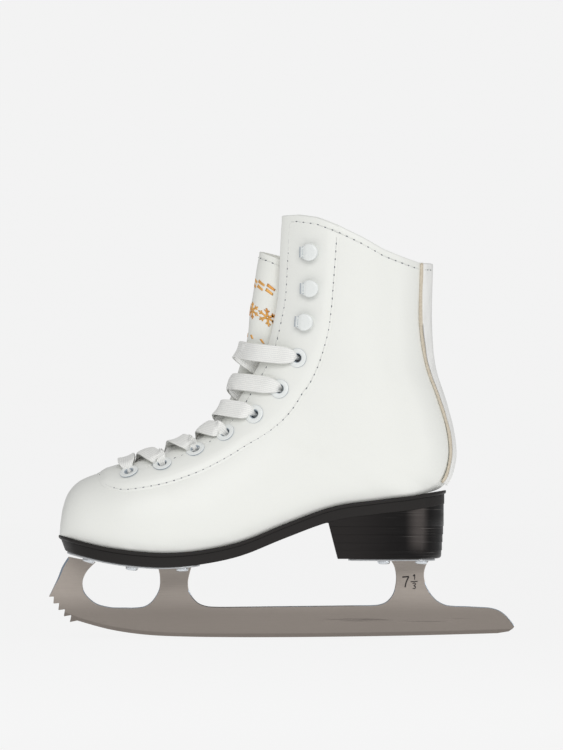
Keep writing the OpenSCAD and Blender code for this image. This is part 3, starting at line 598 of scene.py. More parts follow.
@dataclass(frozen=True)
class Cloth(Finish):
    """Close fabric or foam seen through its cover."""

    thread: float = 2400.0
    shade: Colour = (0.5, 0.5, 0.48, 1.0)

    def paint(self, g: Graph, inputs: Any) -> dict[str, Wire]:
        """Crossed threads and a soft unevenness."""
        x, y, z = g.axes(g.place())
        across = g.maths("SINE", (x + z) * self.thread)
        along = g.maths("SINE", (y - z) * self.thread)
        uneven = g.noise(g.place(), 260, 3)
        weave = across * along
        colour = g.mix((uneven.over(0.3, 0.8) * 0.4 + weave * 0.1).held(), self.colour, self.shade)
        return {"Base Color": colour, "Normal": g.bump(weave * 0.5 + uneven, 0.0002, 0.5)}


@dataclass(frozen=True)
class Lacquer(Finish):
    """Black lacquered leather or rubber edge, with faint lines of its layers."""

    layer: float = 0.00137
    line: float = 0.35

    def paint(self, g: Graph, inputs: Any) -> dict[str, Wire]:
        """Layer lines lighter towards the rear, brush marks, scuffs, a painted highlight down the heel's rear corner
        and a lighter front.
        """
        inputs["Specular IOR Level"].default_value = 0.16
        at = g.place()
        x, _, z = g.axes(at)
        streaks = g.noise(g.place((9, 9, 260)), 3.0, 4, 0.6)
        waver = z + (g.noise(at, 40, 2) - 0.5) * 0.0009
        saw = g.maths("FRACT", waver / self.layer)
        thin = 1 - g.maths("ABSOLUTE", saw - 0.5).over(0.03, 0.1)
        broken = g.noise(g.place((30, 30, 320)), 2.0, 3).over(0.5, 0.72)
        # the layer lines are real; they are painted lighter towards the rear, where the painted highlight falls
        rear = x.over(0.045, 0.08) * 0.95 + 0.05
        lines = thin * broken * rear * self.line
        scuffs = g.noise(at, 420, 4, 0.7).over(0.62, 0.9)
        # painted highlight: a vertical band of gloss down the heel's rear corner, 62 to 75 mm back and above 41 mm,
        # mixed in as a lighter grey
        turn = x.over(0.062, 0.0695) * (1 - x.over(0.0705, 0.0755)) * z.over(0.041, 0.05)
        highlighted = g.mix(turn * (0.75 + streaks * 0.4), self.colour, srgb(74, 69, 67))
        # lighter towards the front of the heel, darkest at its rear
        lighter_forward = g.mix((1 - x.over(0.03, 0.062)) * 0.8, highlighted, srgb(38, 35, 34))
        colour = g.mix((lines + scuffs * 0.05).held(), lighter_forward, srgb(150, 146, 142))
        rough = self.rough + (streaks - 0.5) * 0.2 + lines * 0.3
        return {
            "Base Color": colour,
            "Roughness": rough.held(),
            "Normal": g.bump(streaks * 0.5 - lines, 0.00018, 0.35),
        }


@dataclass(frozen=True)
class Rubber(Finish):
    """Moulded black sole with a satin gloss."""

    def paint(self, g: Graph, inputs: Any) -> dict[str, Wire]:
        """Flow marks along the edge and fine speckle."""
        inputs["Specular IOR Level"].default_value = 0.14
        flow = g.noise(g.place((14, 14, 160)), 4.0, 3)
        speck = g.noise(g.place(), 1900, 2)
        colour = g.mix(speck.over(0.55, 0.9) * 0.12, self.colour, srgb(60, 57, 56))
        return {
            "Base Color": colour,
            "Roughness": self.rough + (flow - 0.5) * 0.2,
            "Normal": g.bump(flow * 0.7 + speck * 0.3, 0.00015, 0.3),
        }


@dataclass(frozen=True)
class BladeSteel(Finish):
    """Satin steel blade with a ground band along its running edge."""

    rocker_x: float = -0.019
    rocker_r: float = 4.0
    band: float = 0.0021

    def paint(self, g: Graph, inputs: Any) -> dict[str, Wire]:
        """Brushing, cloudy tone, long scratches, the ground band above the edge, and a tone darker along the runner and
        lighter up the posts.
        """
        inputs["Metallic"].default_value = 0.9
        inputs["Anisotropic"].default_value = 0.0
        at = g.place()
        x, _, z = g.axes(at)
        brush = g.noise(g.place((60, 60, 2600)), 1.0, 5, 0.65)
        cloud = g.noise(at, 30, 3)
        run = x - self.rocker_x
        rear = (g.maths("MAXIMUM", run, 0.0) ** 2.0) / (2 * self.rocker_r)
        front = ((g.maths("MAXIMUM", 0.0 - run, 0.0) * 1000) ** 3.55) * 1.2e-9
        above = z - rear - front
        ground = 1 - above.over(self.band * 0.85, self.band)
        wave = z + (g.noise(g.place((1, 1, 1)), 22, 2) - 0.5) * 0.004
        fine = g.noise(g.place((18, 18, 3200)), 1.0, 2)
        long = wave.over(0.0078, 0.0088) * (1 - wave.over(0.0092, 0.0102)) * fine.over(0.5, 0.6)
        scratch = long * x.over(0.015, 0.03) * (1 - x.over(0.085, 0.1))
        pits = g.noise(at, 900, 3).over(0.66, 0.8)
        # darker along the runner and lighter up the posts; the lighter posts are painted light against the shade under
        # the sole
        tone = g.mix(z.over(0.011, 0.024), srgb(143, 135, 128), self.colour)
        tone = g.mix((brush - 0.3).held() * 0.5 + (cloud - 0.4).held() * 0.4, tone, srgb(133, 126, 119))
        tone = g.mix(ground * 0.42, tone, srgb(112, 104, 98))
        tone = g.mix((scratch * 0.8 + pits * 0.12).held(), tone, srgb(96, 90, 86))
        rough = self.rough + (brush - 0.5) * 0.18 - ground * 0.08
        return {
            "Base Color": tone,
            "Roughness": rough.held(),
            "Normal": g.bump(brush - scratch * 2, 0.00006, 0.5),
        }


@dataclass(frozen=True)
class Metal(Finish):
    """Plated or bare metal with fine marks."""

    metallic: float = 1.0
    marks: float = 700.0
    dark: Colour = (0.3, 0.3, 0.3, 1.0)

    def paint(self, g: Graph, inputs: Any) -> dict[str, Wire]:
        """Spotted tone and shallow tool marks."""
        inputs["Metallic"].default_value = self.metallic
        spots = g.noise(g.place(), self.marks, 4, 0.65)
        marks = g.noise(g.place((1, 1, 6)), self.marks * 3, 2)
        colour = g.mix(spots.over(0.45, 0.85) * 0.5, self.colour, self.dark)
        return {
            "Base Color": colour,
            "Roughness": self.rough + (spots - 0.5) * 0.2,
            "Normal": g.bump(marks, 0.00008, 0.35),
        }


@dataclass(frozen=True)
class Enamel(Finish):
    """Baked white paint over brass or steel, cool in tone."""

    chip: Colour = srgb(205, 210, 214)
    # the colour of the painted shade, laid where a part's "edge" attribute is 1
    edge: Colour = srgb(136, 150, 164)

    def paint(self, g: Graph, inputs: Any) -> dict[str, Wire]:
        """Slight orange peel, greyer spots and painted shade where the part's "edge" attribute is set."""
        inputs["Coat Weight"].default_value = 0.4
        inputs["Coat Roughness"].default_value = 0.12
        peel = g.noise(g.place(), 1400, 2)
        spots = g.noise(g.place(), 300, 3)
        # painted shade from the part's "edge" attribute, at hollows and shaded bends
        painted_shade = g.node("ShaderNodeAttribute", {"attribute_name": "edge"})["Fac"]
        base = g.mix(spots.over(0.55, 0.9) * 0.2, self.colour, self.chip)
        return {
            "Base Color": g.mix(painted_shade, base, self.edge),
            "Roughness": self.rough + (peel - 0.5) * 0.08,
            "Normal": g.bump(peel, 0.00008, 0.3),
        }


@dataclass(frozen=True)
class Foil(Finish):
    """Hot-stamped gold foil on leather."""

    def paint(self, g: Graph, inputs: Any) -> dict[str, Wire]:
        """Warm drift from copper to gold, and the leather's grain through it."""
        inputs["Metallic"].default_value = 0.55
        x, _, z = g.axes(g.place())
        drift = (g.maths("SINE", (x * 1.0 + z) * 420) * 0.5 + 0.5) * 0.7 + g.noise(g.place(), 500, 3) * 0.3
        colour = g.mix(drift.held(), self.colour, srgb(252, 196, 112))
        return {
            "Base Color": colour,
            "Roughness": self.rough + (drift - 0.5) * 0.2,
            "Normal": g.bump(g.cells(g.place(), 1500), 0.0001, 0.3),
        }


@dataclass(frozen=True)
class Board(Finish):
    """Pressed fibreboard."""

    def paint(self, g: Graph, inputs: Any) -> dict[str, Wire]:
        """Flecks and matted fibres."""
        fleck = g.noise(g.place((1, 1, 4)), 700, 5, 0.75)
        colour = g.mix(fleck.over(0.35, 0.75) * 0.7, self.colour, srgb(96, 74, 52))
        return {"Base Color": colour, "Normal": g.bump(fleck, 0.0003, 0.5)}


@dataclass(frozen=True)
class Glow(Finish):
    """An evenly lit backdrop."""

    level: float = 0.86

    def paint(self, g: Graph, inputs: Any) -> dict[str, Wire]:
        """A glow with the faintest unevenness."""
        inputs["Specular IOR Level"].default_value = 0.0
        inputs["Emission Strength"].default_value = 1.0
        drift = g.noise(g.place(), 0.7, 1)
        low, high = (self.level * 0.998,) * 3 + (1.0,), (self.level * 1.002,) * 3 + (1.0,)
        return {"Emission Color": g.mix(drift, low, high)}


WHITE_LEATHER = Leather("white_leather", srgb(241, 242, 237), 0.4)
# a touch lighter than the boot's white leather: painted light against the shade on the tongue
TONGUE_LEATHER = Leather("tongue_leather", srgb(243, 244, 238), 0.46, 1.3)
BACK_LEATHER = Leather("crinkled_leather", srgb(250, 250, 247), 0.5, 3.0)
RAW_EDGE = CutLeather("raw_leather_edge", srgb(212, 202, 184), 0.8)
LINING_LEATHER = Leather("lining_leather", srgb(214, 205, 188), 0.6, 1.6, srgb(186, 174, 152), 0.0)
LACE_WEAVE = Woven("lace_weave", srgb(248, 248, 244), 0.8)
THREAD = Cloth("sewing_thread", srgb(236, 237, 233), 0.7, 5200.0, srgb(205, 206, 202))
# dark discs of painted shade at the needle holes
HOLE_SHADE = Cloth("needle_hole", srgb(122, 126, 130), 0.9, 4000.0, srgb(96, 100, 106))
SOLE_RUBBER = Rubber("outsole_rubber", srgb(41, 39, 38), 0.5)
WELT_BLACK = Rubber("welt_black", srgb(42, 40, 39), 0.45)
HEEL_LACQUER = Lacquer("heel_lacquer", srgb(15, 13, 13), 0.36)
BLADE_STEEL = BladeSteel("blade_satin", srgb(176, 167, 159), 0.42)
BEVEL_STEEL = Metal("ground_bevel", srgb(176, 190, 204), 0.25, 1.0, 900.0, srgb(96, 118, 140))
PLATE_STEEL = Metal("plate_steel", srgb(196, 198, 200), 0.32, 1.0, 500.0, srgb(150, 152, 154))
ZINC = Metal("bright_zinc", srgb(222, 226, 230), 0.24, 1.0, 1100.0, srgb(150, 160, 168))
WHITE_ENAMEL = Enamel("white_enamel", srgb(238, 241, 239), 0.28)
AGLET_FILM = Enamel("clear_tip_film", srgb(232, 232, 230), 0.2, srgb(200, 200, 198))
GOLD = Foil("gold_foil", srgb(214, 138, 62), 0.42)
MARK_INK = Metal("stamped_mark", srgb(58, 54, 52), 0.7, 0.0, 1200.0, srgb(40, 38, 36))
FOOTBED_FELT = Cloth("footbed_felt", srgb(208, 208, 212), 0.9, 2600.0, srgb(170, 171, 178))
FOAM = Cloth("padding_foam", srgb(224, 220, 200), 0.9, 1800.0, srgb(198, 190, 160))
FIBREBOARD = Board("fibreboard", srgb(164, 132, 96), 0.85)
SHANK_STEEL = Metal("shank_steel", srgb(150, 152, 158), 0.4, 1.0, 400.0, srgb(100, 102, 108))


# ---------------------------------------------------------------- the last
@dataclass(frozen=True)
class Last:
    """The shape of the foot that the boot is built on. Row r counts sections from toe to top, p runs
    from the sole or back (0) to the ridge or front (1), and side is OUTER or INNER."""

    rows: tuple[tuple[float, ...], ...] = (
        (-113.0, 52.3, -113.0, 53.3, 0.5, 0.4, 2.6, 3.0, 1.0, 3.4),
        (-112.3, 51.9, -112.5, 59.0, 9.5, 9.0, 2.6, 3.0, 1.0, 3.3),
        (-110.5, 51.4, -111.3, 66.5, 16.0, 15.3, 2.6, 3.0, 1.0, 3.2),
        (-106.5, 50.3, -108.5, 73.8, 22.0, 21.0, 2.6, 3.0, 1.0, 2.9),
        (-99.5, 48.5, -102.5, 79.7, 27.5, 26.0, 2.6, 3.0, 1.0, 2.4),
        (-88.0, 46.0, -91.5, 84.0, 31.5, 29.5, 2.7, 3.0, 1.0, 1.4),
        (-74.0, 44.1, -80.5, 87.3, 34.0, 31.8, 2.9, 3.0, 1.0, 0.5),
        (-58.0, 43.3, -69.0, 91.3, 34.5, 32.6, 3.1, 3.0, 1.0, 0.0),
        (-40.0, 44.8, -58.4, 95.0, 33.5, 31.0, 3.2, 3.0, 1.0, 0.0),
        (-20.0, 49.2, -48.4, 99.0, 31.5, 28.0, 3.2, 3.0, 1.0, 0.0),
        (2.0, 58.0, -39.6, 103.8, 30.2, 25.5, 3.2, 3.0, 1.0, 0.0),
        (26.0, 66.6, -33.3, 109.9, 29.8, 24.5, 3.2, 3.0, 1.0, 0.0),
        (50.0, 70.2, -28.7, 116.8, 30.2, 24.5, 3.2, 3.0, 1.0, 0.0),
        (70.0, 72.8, -24.7, 125.4, 30.8, 21.5, 3.2, 4.0, 1.2, 0.0),
        (82.5, 77.5, -21.3, 134.0, 31.0, 6.0, 3.2, 5.5, 1.8, 0.0),
        (87.4, 90.0, -17.4, 141.9, 31.0, 0.6, 3.2, 5.0, 2.0, 0.0),
        (86.6, 104.0, -13.5, 151.3, 31.2, 0.6, 3.0, 4.2, 2.0, 0.0),
        (82.5, 120.0, -10.1, 163.2, 31.5, 0.6, 3.0, 3.8, 2.0, 0.0),
        (77.0, 138.0, -7.2, 176.3, 31.8, 0.6, 3.0, 3.4, 2.0, 0.0),
        (75.2, 160.0, -6.2, 192.8, 32.2, 0.6, 3.0, 3.2, 2.0, 0.0),
        (75.7, 189.5, -5.1, 215.5, 32.6, 0.6, 3.0, 3.2, 2.0, 0.0),
    )
    topline: tuple[tuple[float, float], ...] = (
        (0, 0), (0.06, -1.5), (0.15, -1.4), (0.29, -0.8), (0.44, 1.8), (0.61, 3.8), (0.73, 4.3),
        (0.84, 2.7), (0.92, 0.2), (1, -2.5),
    )  # fmt: skip
    fade: float = 16.0
    throat_row: float = 5.9
    throat_line: tuple[tuple[float, float], ...] = (
        (5.9, 1), (6.4, 0.965), (8, 0.955), (11, 0.955), (14, 0.94), (16, 0.925), (20, 0.92),
    )  # fmt: skip
    top: float = 20.0

    def section(self, r: Any) -> Array:
        """The section's ten numbers at row r."""
        t = np.array(self.rows)
        ext = np.vstack([2 * t[0] - t[1], t, 2 * t[-1] - t[-2]])
        r = np.asarray(r, float)
        i = np.clip(np.floor(r).astype(int), 0, len(t) - 2)
        f = (r - i)[..., None]
        a, b, c, d = (ext[i + k] for k in range(4))
        return 0.5 * (2 * b + (c - a) * f + (2 * a - 5 * b + 4 * c - d) * f**2 + (3 * b - a - 3 * c + d) * f**3)

    def arch(self, r: Array, side: Any) -> Array:
        """How much narrower the sole's inner side is at the arch."""
        return np.where(np.asarray(side) > 0, 1 - 0.13 * np.exp(-(((r - 10) / 1.5) ** 2)), 1.0)

    def skin(self, r: Any, p: Any, side: Any) -> Array:
        """The leather's face."""
        r, p, side = np.broadcast_arrays(np.asarray(r, float), np.asarray(p, float), np.asarray(side, float))
        q = self.section(r)
        along = q[..., 2:4] - q[..., 0:2]
        half = q[..., 4]
        foot = q[..., 5] * self.arch(r, side) / half
        crown = np.sqrt(np.clip(1 - np.clip(p, 0, 1) ** q[..., 6], 0, None))
        heel = foot + (1 - foot) * np.clip(1 - (1 - p) ** q[..., 7], 0, None) ** (1 / q[..., 8])
        up = unit(np.stack([-along[..., 1], along[..., 0]], -1))
        lift = np.interp(p, *np.array(self.topline).T) * ease((r - self.fade) / (self.top - self.fade))
        at = q[..., 0:2] + along * p[..., None] - up * lift[..., None]
        return np.stack([at[..., 0], side * half * crown * heel + q[..., 9], at[..., 1]], -1)

    def normal(self, r: Any, p: Any, side: Any) -> Array:
        """The direction out of the leather."""
        r, p, side = np.broadcast_arrays(np.asarray(r, float), np.asarray(p, float), np.asarray(side, float))
        rr, pp = np.clip(r, 0.35, self.top - 0.06), np.clip(p, 0.02, 0.9985)
        down = self.skin(rr + 0.06, pp, side) - self.skin(rr - 0.06, pp, side)
        across = self.skin(rr, np.minimum(pp + 0.008, 0.9995), side) - self.skin(rr, pp - 0.008, side)
        n = unit(np.cross(down, across))
        q = self.section(rr)
        spine = np.stack([(q[..., 0] + q[..., 2]) / 2, q[..., 9], (q[..., 1] + q[..., 3]) / 2], -1)
        out = np.sum(n * (self.skin(rr, pp, side) - spine), -1, keepdims=True)
        return np.where(out > 0, n, -n)

    def over(self, r: Any, p: Any, side: Any, depth: Any) -> Array:
        """A point depth above the leather, or under it where depth is below zero."""
        return self.skin(r, p, side) + np.asarray(depth, float)[..., None] * self.normal(r, p, side)

    def along_row(self, r: Any, p: Any, side: Any) -> Array:
        """The direction from the toe to the top at a point of the leather."""
        return unit(self.skin(np.asarray(r) + 0.06, p, side) - self.skin(np.asarray(r) - 0.06, p, side))

    def tread_normal(self, r: Array) -> Array:
        """The direction out of the sole or the back."""
        rr = np.clip(r, 0.5, self.top - 0.5)
        a, b = self.section(rr - 0.4), self.section(rr + 0.4)
        return unit(np.stack([b[..., 1] - a[..., 1], np.zeros_like(rr), a[..., 0] - b[..., 0]], -1))

    def tread(self, r: Array, side: float, share: float, depth: float) -> Array:
        """A point on the sole, a share of its half width from the middle."""
        q = self.section(r)
        edge = q[..., 5] * self.arch(r, side)
        at = np.stack([q[..., 0], q[..., 9] + side * edge * share, q[..., 1]], -1)
        return at + depth * self.tread_normal(r)

    def corner(self, r: Array, side: float, depth: float) -> Array:
        """The edge between the sole and the wall."""
        n = self.normal(r, 0.02, side)
        flat = unit(n * np.array([1, 1, 0.2])) + self.tread_normal(r)
        return self.tread(r, side, 1.0, 0.0) + depth * np.where((r < self.top - 6.4)[..., None], flat, n)

    def throat(self, r: Any) -> Array:
        """Where the facings end, as p."""
        return np.interp(r, *np.array(self.throat_line).T)

    def below_top(self, p: Any, drop: float) -> Array:
        """The row that is drop millimetres below the topline at p."""
        span = np.linalg.norm(self.skin(self.top, p, OUTER) - self.skin(self.top - 0.2, p, OUTER), axis=-1)
        return self.top - 0.2 * drop / span

    def wall(self, r: Any) -> Array:
        """The wall's height from the back or sole to the ridge."""
        q = self.section(r)
        return np.linalg.norm(q[..., 2:4] - q[..., 0:2], axis=-1)

    def wrap(self, r: Array, depth: float, cols: int, low: float = 0.03) -> Array:
        """Rows of points round the foot, from one facing's edge under the sole to the other's.

        Args:
            r: the rows.
            depth: how far above the leather's face.
            cols: how many places each wall has.
            low: the lowest place on the wall, as p.

        Returns:
            A grid of points, rows by columns.
        """
        rr = r[:, None]
        g = (1 - np.cos(np.linspace(0, math.pi, cols))) / 2
        p = self.throat(rr) + (low - self.throat(rr)) * g[None, :]
        depths = np.full(p.shape, float(depth))

        def half(side: int) -> Array:
            """One side, from the facing's edge to the sole."""
            wall = self.over(np.broadcast_to(rr, p.shape), p, side, depths)
            foot = [self.corner(r, side, depth)] + [self.tread(r, side, s, depth) for s in (0.75, 0.4)]
            return np.concatenate([wall, np.stack(foot, 1)], axis=1)

        left, right = half(OUTER), half(INNER)
        middle = self.tread(r, 1, 0.0, depth)[:, None]
        grid = np.concatenate([left, middle, right[:, ::-1]], axis=1)
        ring = r < self.throat_row + 1e-6
        ridge = (grid[ring, 0] + grid[ring, -1]) / 2
        grid[ring, 0] = grid[ring, -1] = ridge
        if r[0] == 0:
            q = self.section(0)
            grid[0] = [q[0] - depth * 0.95, q[9], (q[1] + q[3]) / 2 - depth]
        return grid


LAST = Last()
LEATHER_T, LINING_DEPTH, STACK_TOP, FLANGE_T = 1.7, 4.1, 1.45, 0.9
EYELETS = (
    (6.24, 0.888), (7.64, 0.874), (9.2, 0.896), (10.8, 0.882), (12.48, 0.846), (14.32, 0.814),
    (16.08, 0.782),
)  # fmt: skip
HOOKS = ((17.44, 0.766), (18.48, 0.748), (19.32, 0.758))
STAY_LINE = np.array(
    [
        [4.9, 0.985], [5.02, 0.89], [5.2, 0.815], [5.7, 0.742], [6.2, 0.716], [7.4, 0.702], [8.6, 0.715],
        [9.8, 0.726], [11.5, 0.727], [14.3, 0.724], [15.1, 0.708], [16, 0.686], [17.1, 0.652],
        [17.7, 0.634], [18.7, 0.616], [20, 0.6],
    ]
)  # fmt: skip


@dataclass(frozen=True)
class Seat:
    """A place on the leather for a fastener: its middle and its three directions."""

    at: Array
    along: Array
    across: Array
    out: Array

    @classmethod
    def on(cls, r: float, p: float, side: int, depth: float = STACK_TOP) -> "Seat":
        """The place at row r and p on one side, with across pointing towards the throat."""
        n = LAST.normal(r, p, side)
        t = LAST.along_row(r, p, side)
        t = unit(t - np.dot(t, n) * n)
        b = unit(LAST.skin(r, p + 0.01, side) - LAST.skin(r, p - 0.01, side))
        b = unit(b - np.dot(b, n) * n - np.dot(b, t) * t)
        return cls(LAST.over(r, p, side, depth), t, b, n)

    def matrix(self) -> Array:
        """Columns across, up and out, right-handed."""
        up = np.cross(self.out, self.across)
        return np.stack([self.across, up, self.out], -1)


# ---------------------------------------------------------------- what repeats
def points_object(name: str, at: Array, turns: Array) -> bpy.types.Object:
    """Loose points that carry a turn each.

    Args:
        name: the object's name.
        at: the points, in millimetres.
        turns: a 3 by 3 matrix for each point.

    Returns:
        An object with the points and their attribute "turn".
    """
    mesh = bpy.data.meshes.new(name)
    mesh.from_pydata((np.asarray(at) * MM).tolist(), [], [])
    eulers = np.array([tuple(Matrix(m.tolist()).to_euler()) for m in turns], np.float32)
    mesh.attributes.new("turn", "FLOAT_VECTOR", "POINT").data.foreach_set("vector", eulers.ravel())
    made = bpy.data.objects.new(name, mesh)
    bpy.context.scene.collection.objects.link(made)
    return made


@dataclass(frozen=True)
class Repeater:
    """A Geometry Nodes tree that sets a copy of one part on every point."""

    name: str
    finish: Finish
    spin: float = 0.0
    spread: float = 0.0
    seed: int = 3

    def tree(self) -> bpy.types.NodeTree:
        """The tree, with the part, the copies' random spin and their spread of size as inputs."""
        tree = bpy.data.node_groups.new(f"set_{self.name}", "GeometryNodeTree")
        face = tree.interface
        face.new_socket("Geometry", in_out="INPUT", socket_type="NodeSocketGeometry")
        face.new_socket("Part", in_out="INPUT", socket_type="NodeSocketObject")
        for title, value in (("Spin", self.spin), ("Spread", self.spread)):
            face.new_socket(title, in_out="INPUT", socket_type="NodeSocketFloat").default_value = value
        face.new_socket("Geometry", in_out="OUTPUT", socket_type="NodeSocketGeometry")
        g = Graph(tree)
        given = g.node("NodeGroupInput")
        part = g.node("GeometryNodeObjectInfo", {"transform_space": "ORIGINAL"}, {"Object": given["Part"]})
        turn = g.node("GeometryNodeInputNamedAttribute", {"data_type": "FLOAT_VECTOR"}, {"Name": "turn"})
        seat = g.node("FunctionNodeEulerToRotation", None, {0: turn})
        chance = g.node("FunctionNodeRandomValue", {"data_type": "FLOAT"}, {2: -1.0, 3: 1.0, "Seed": self.seed})
        angle = g.maths("MULTIPLY", chance, given["Spin"])
        spun = g.node("ShaderNodeCombineXYZ", None, {"Z": angle})
        local = g.node("FunctionNodeEulerToRotation", None, {0: spun})
        turned = g.node("FunctionNodeRotateRotation", {"rotation_space": "LOCAL"}, {0: seat, 1: local})
        size = g.maths("MULTIPLY", chance, given["Spread"]) + 1.0
        scale = g.node("ShaderNodeCombineXYZ", None, {"X": size, "Y": 1.0, "Z": 1.0})
        copies = g.node(
            "GeometryNodeInstanceOnPoints",
            None,
            {"Points": given["Geometry"], "Instance": part["Geometry"], "Rotation": turned, "Scale": scale},
        )
        real = g.node("GeometryNodeRealizeInstances", None, {0: copies})
        dressed = g.node("GeometryNodeSetMaterial", None, {"Geometry": real, "Material": self.finish.material()})
        g.node("NodeGroupOutput", None, {0: dressed})
        return tree

    def make(self, part: bpy.types.Object, at: Array, turns: Array) -> bpy.types.Object:
        """Sets the part on every point.

        Args:
            part: the part at the origin, which is used up.
            at: the points, in millimetres.
            turns: a 3 by 3 matrix for each point.

        Returns:
            One piece with every copy in its plain mesh.
        """
        piece = points_object(self.name, at, turns)
        part.data.materials.append(self.finish.material())
        mod = piece.modifiers.new("Set", "NODES")
        mod.node_group = self.tree()
        for item in mod.node_group.interface.items_tree:
            if item.in_out == "INPUT" and item.name == "Part":
                mod[item.identifier] = part
        finished(piece)
        bpy.data.objects.remove(part)
        return piece


def mark_painted_shade(part: bpy.types.Object, share: Callable[[Array], Array]) -> bpy.types.Object:
    """Gives a part its attribute "edge", which is 1 where shade is painted on it.

    Args:
        part: the part at the origin.
        share: the value for its points in millimetres.

    Returns:
        The same part.
    """
    co = np.zeros(len(part.data.vertices) * 3)
    part.data.vertices.foreach_get("co", co)
    values = np.clip(share(co.reshape(-1, 3) / MM), 0, 1).astype(np.float32)
    part.data.attributes.new("edge", "FLOAT", "POINT").data.foreach_set("value", values)
    return part


def turned(profile: Sequence[Sequence[float]], steps: int) -> Draft:
    """A closed profile of (radius, height) turned about Z, in millimetres."""
    q = np.asarray(profile, float)
    a = around(steps)
    rings = np.stack(
        [np.outer(np.cos(a), q[:, 0]), np.outer(np.sin(a), q[:, 0]), np.tile(q[:, 1], (steps, 1))], axis=-1
    )
    draft = Draft()
    draft.rings(rings, closed=True)
    return draft


@dataclass(frozen=True)
class Seam:
    """A row of machine stitches along a line on the leather."""

    pitch: float = 4.0
    thread: float = 2.9
    thickness: float = 0.55
    hole: float = 1.15
    hole_half: float = 0.29

    def stitch_part(self) -> bpy.types.Object:
        """One stitch: a thread that dips into the leather at both ends."""
        t = np.linspace(-1, 1, 9)
        a = around(8)
        half = self.thickness / 2
        fat = half * np.sqrt(np.clip(1 - t**6, 0.02, 1))
        rings = np.stack(
            [
                np.repeat((t * self.thread / 2)[:, None], 8, 1),
                fat[:, None] * np.cos(a),
                fat[:, None] * np.sin(a) * 0.8 - (t**4 * 0.25)[:, None],
            ],
            axis=-1,
        )
        return tube("stitch_part", rings)

    def hole_part(self) -> bpy.types.Object:
        """Painted shade of one needle hole: a dark disc where the hole would be in shade."""
        a = around(12)
        rim = np.stack([np.cos(a) * self.hole / 2, np.sin(a) * self.hole_half, np.zeros(12)], -1)
        rings = np.stack([rim * [1, 1, 0] - [0, 0, 0.12], rim, rim * [0.7, 0.7, 0] + [0, 0, 0.05]])
        return tube("hole_part", rings)

    def sew(self, name: str, line: Array, normals: Array) -> list[bpy.types.Object]:
        """Sews along a line.

        Args:
            name: the seam's name.
            line: closely spaced points, in millimetres.
            normals: the direction out of the leather at each.

        Returns:
            The threads and the discs of painted shade at the needle holes.
        """
        far = lengths(line)
        count = max(2, round(far[-1] / self.pitch))

        def frames(places: Array) -> tuple[Array, Array]:
            """Points and turns at distances along the line."""
            n = unit(sampled(normals, far, places))
            t = sampled(line, far, places + 0.5) - sampled(line, far, places - 0.5)
            t = unit(t - np.sum(t * n, -1, keepdims=True) * n)
            return sampled(line, far, places), np.stack([t, np.cross(n, t), n], -1)

        step = far[-1] / count
        mids = (np.arange(count) + 0.5) * step
        ends = np.arange(1, count) * step
        threads = Repeater(f"{name}_stitches", THREAD, 0.05, 0.05).make(self.stitch_part(), *frames(mids))
        holes = Repeater(f"{name}_needle_holes", HOLE_SHADE, 0.12, 0.12).make(self.hole_part(), *frames(ends))
        return [threads, holes]


# ---------------------------------------------------------------- the boot
def worn(r: Array, p: Array, side: int) -> Array:
    """Soft unevenness of the lasted leather, in millimetres out of its face."""
    at = LAST.skin(r, p, side)
    pucker = np.exp(-((p / 0.1) ** 2)) * np.exp(-(((r - 6.5) / 3.2) ** 2)) * ripple(at, 7.0, 11) * 0.16
    return ripple(at, 38.0, 5) * 0.13 + pucker


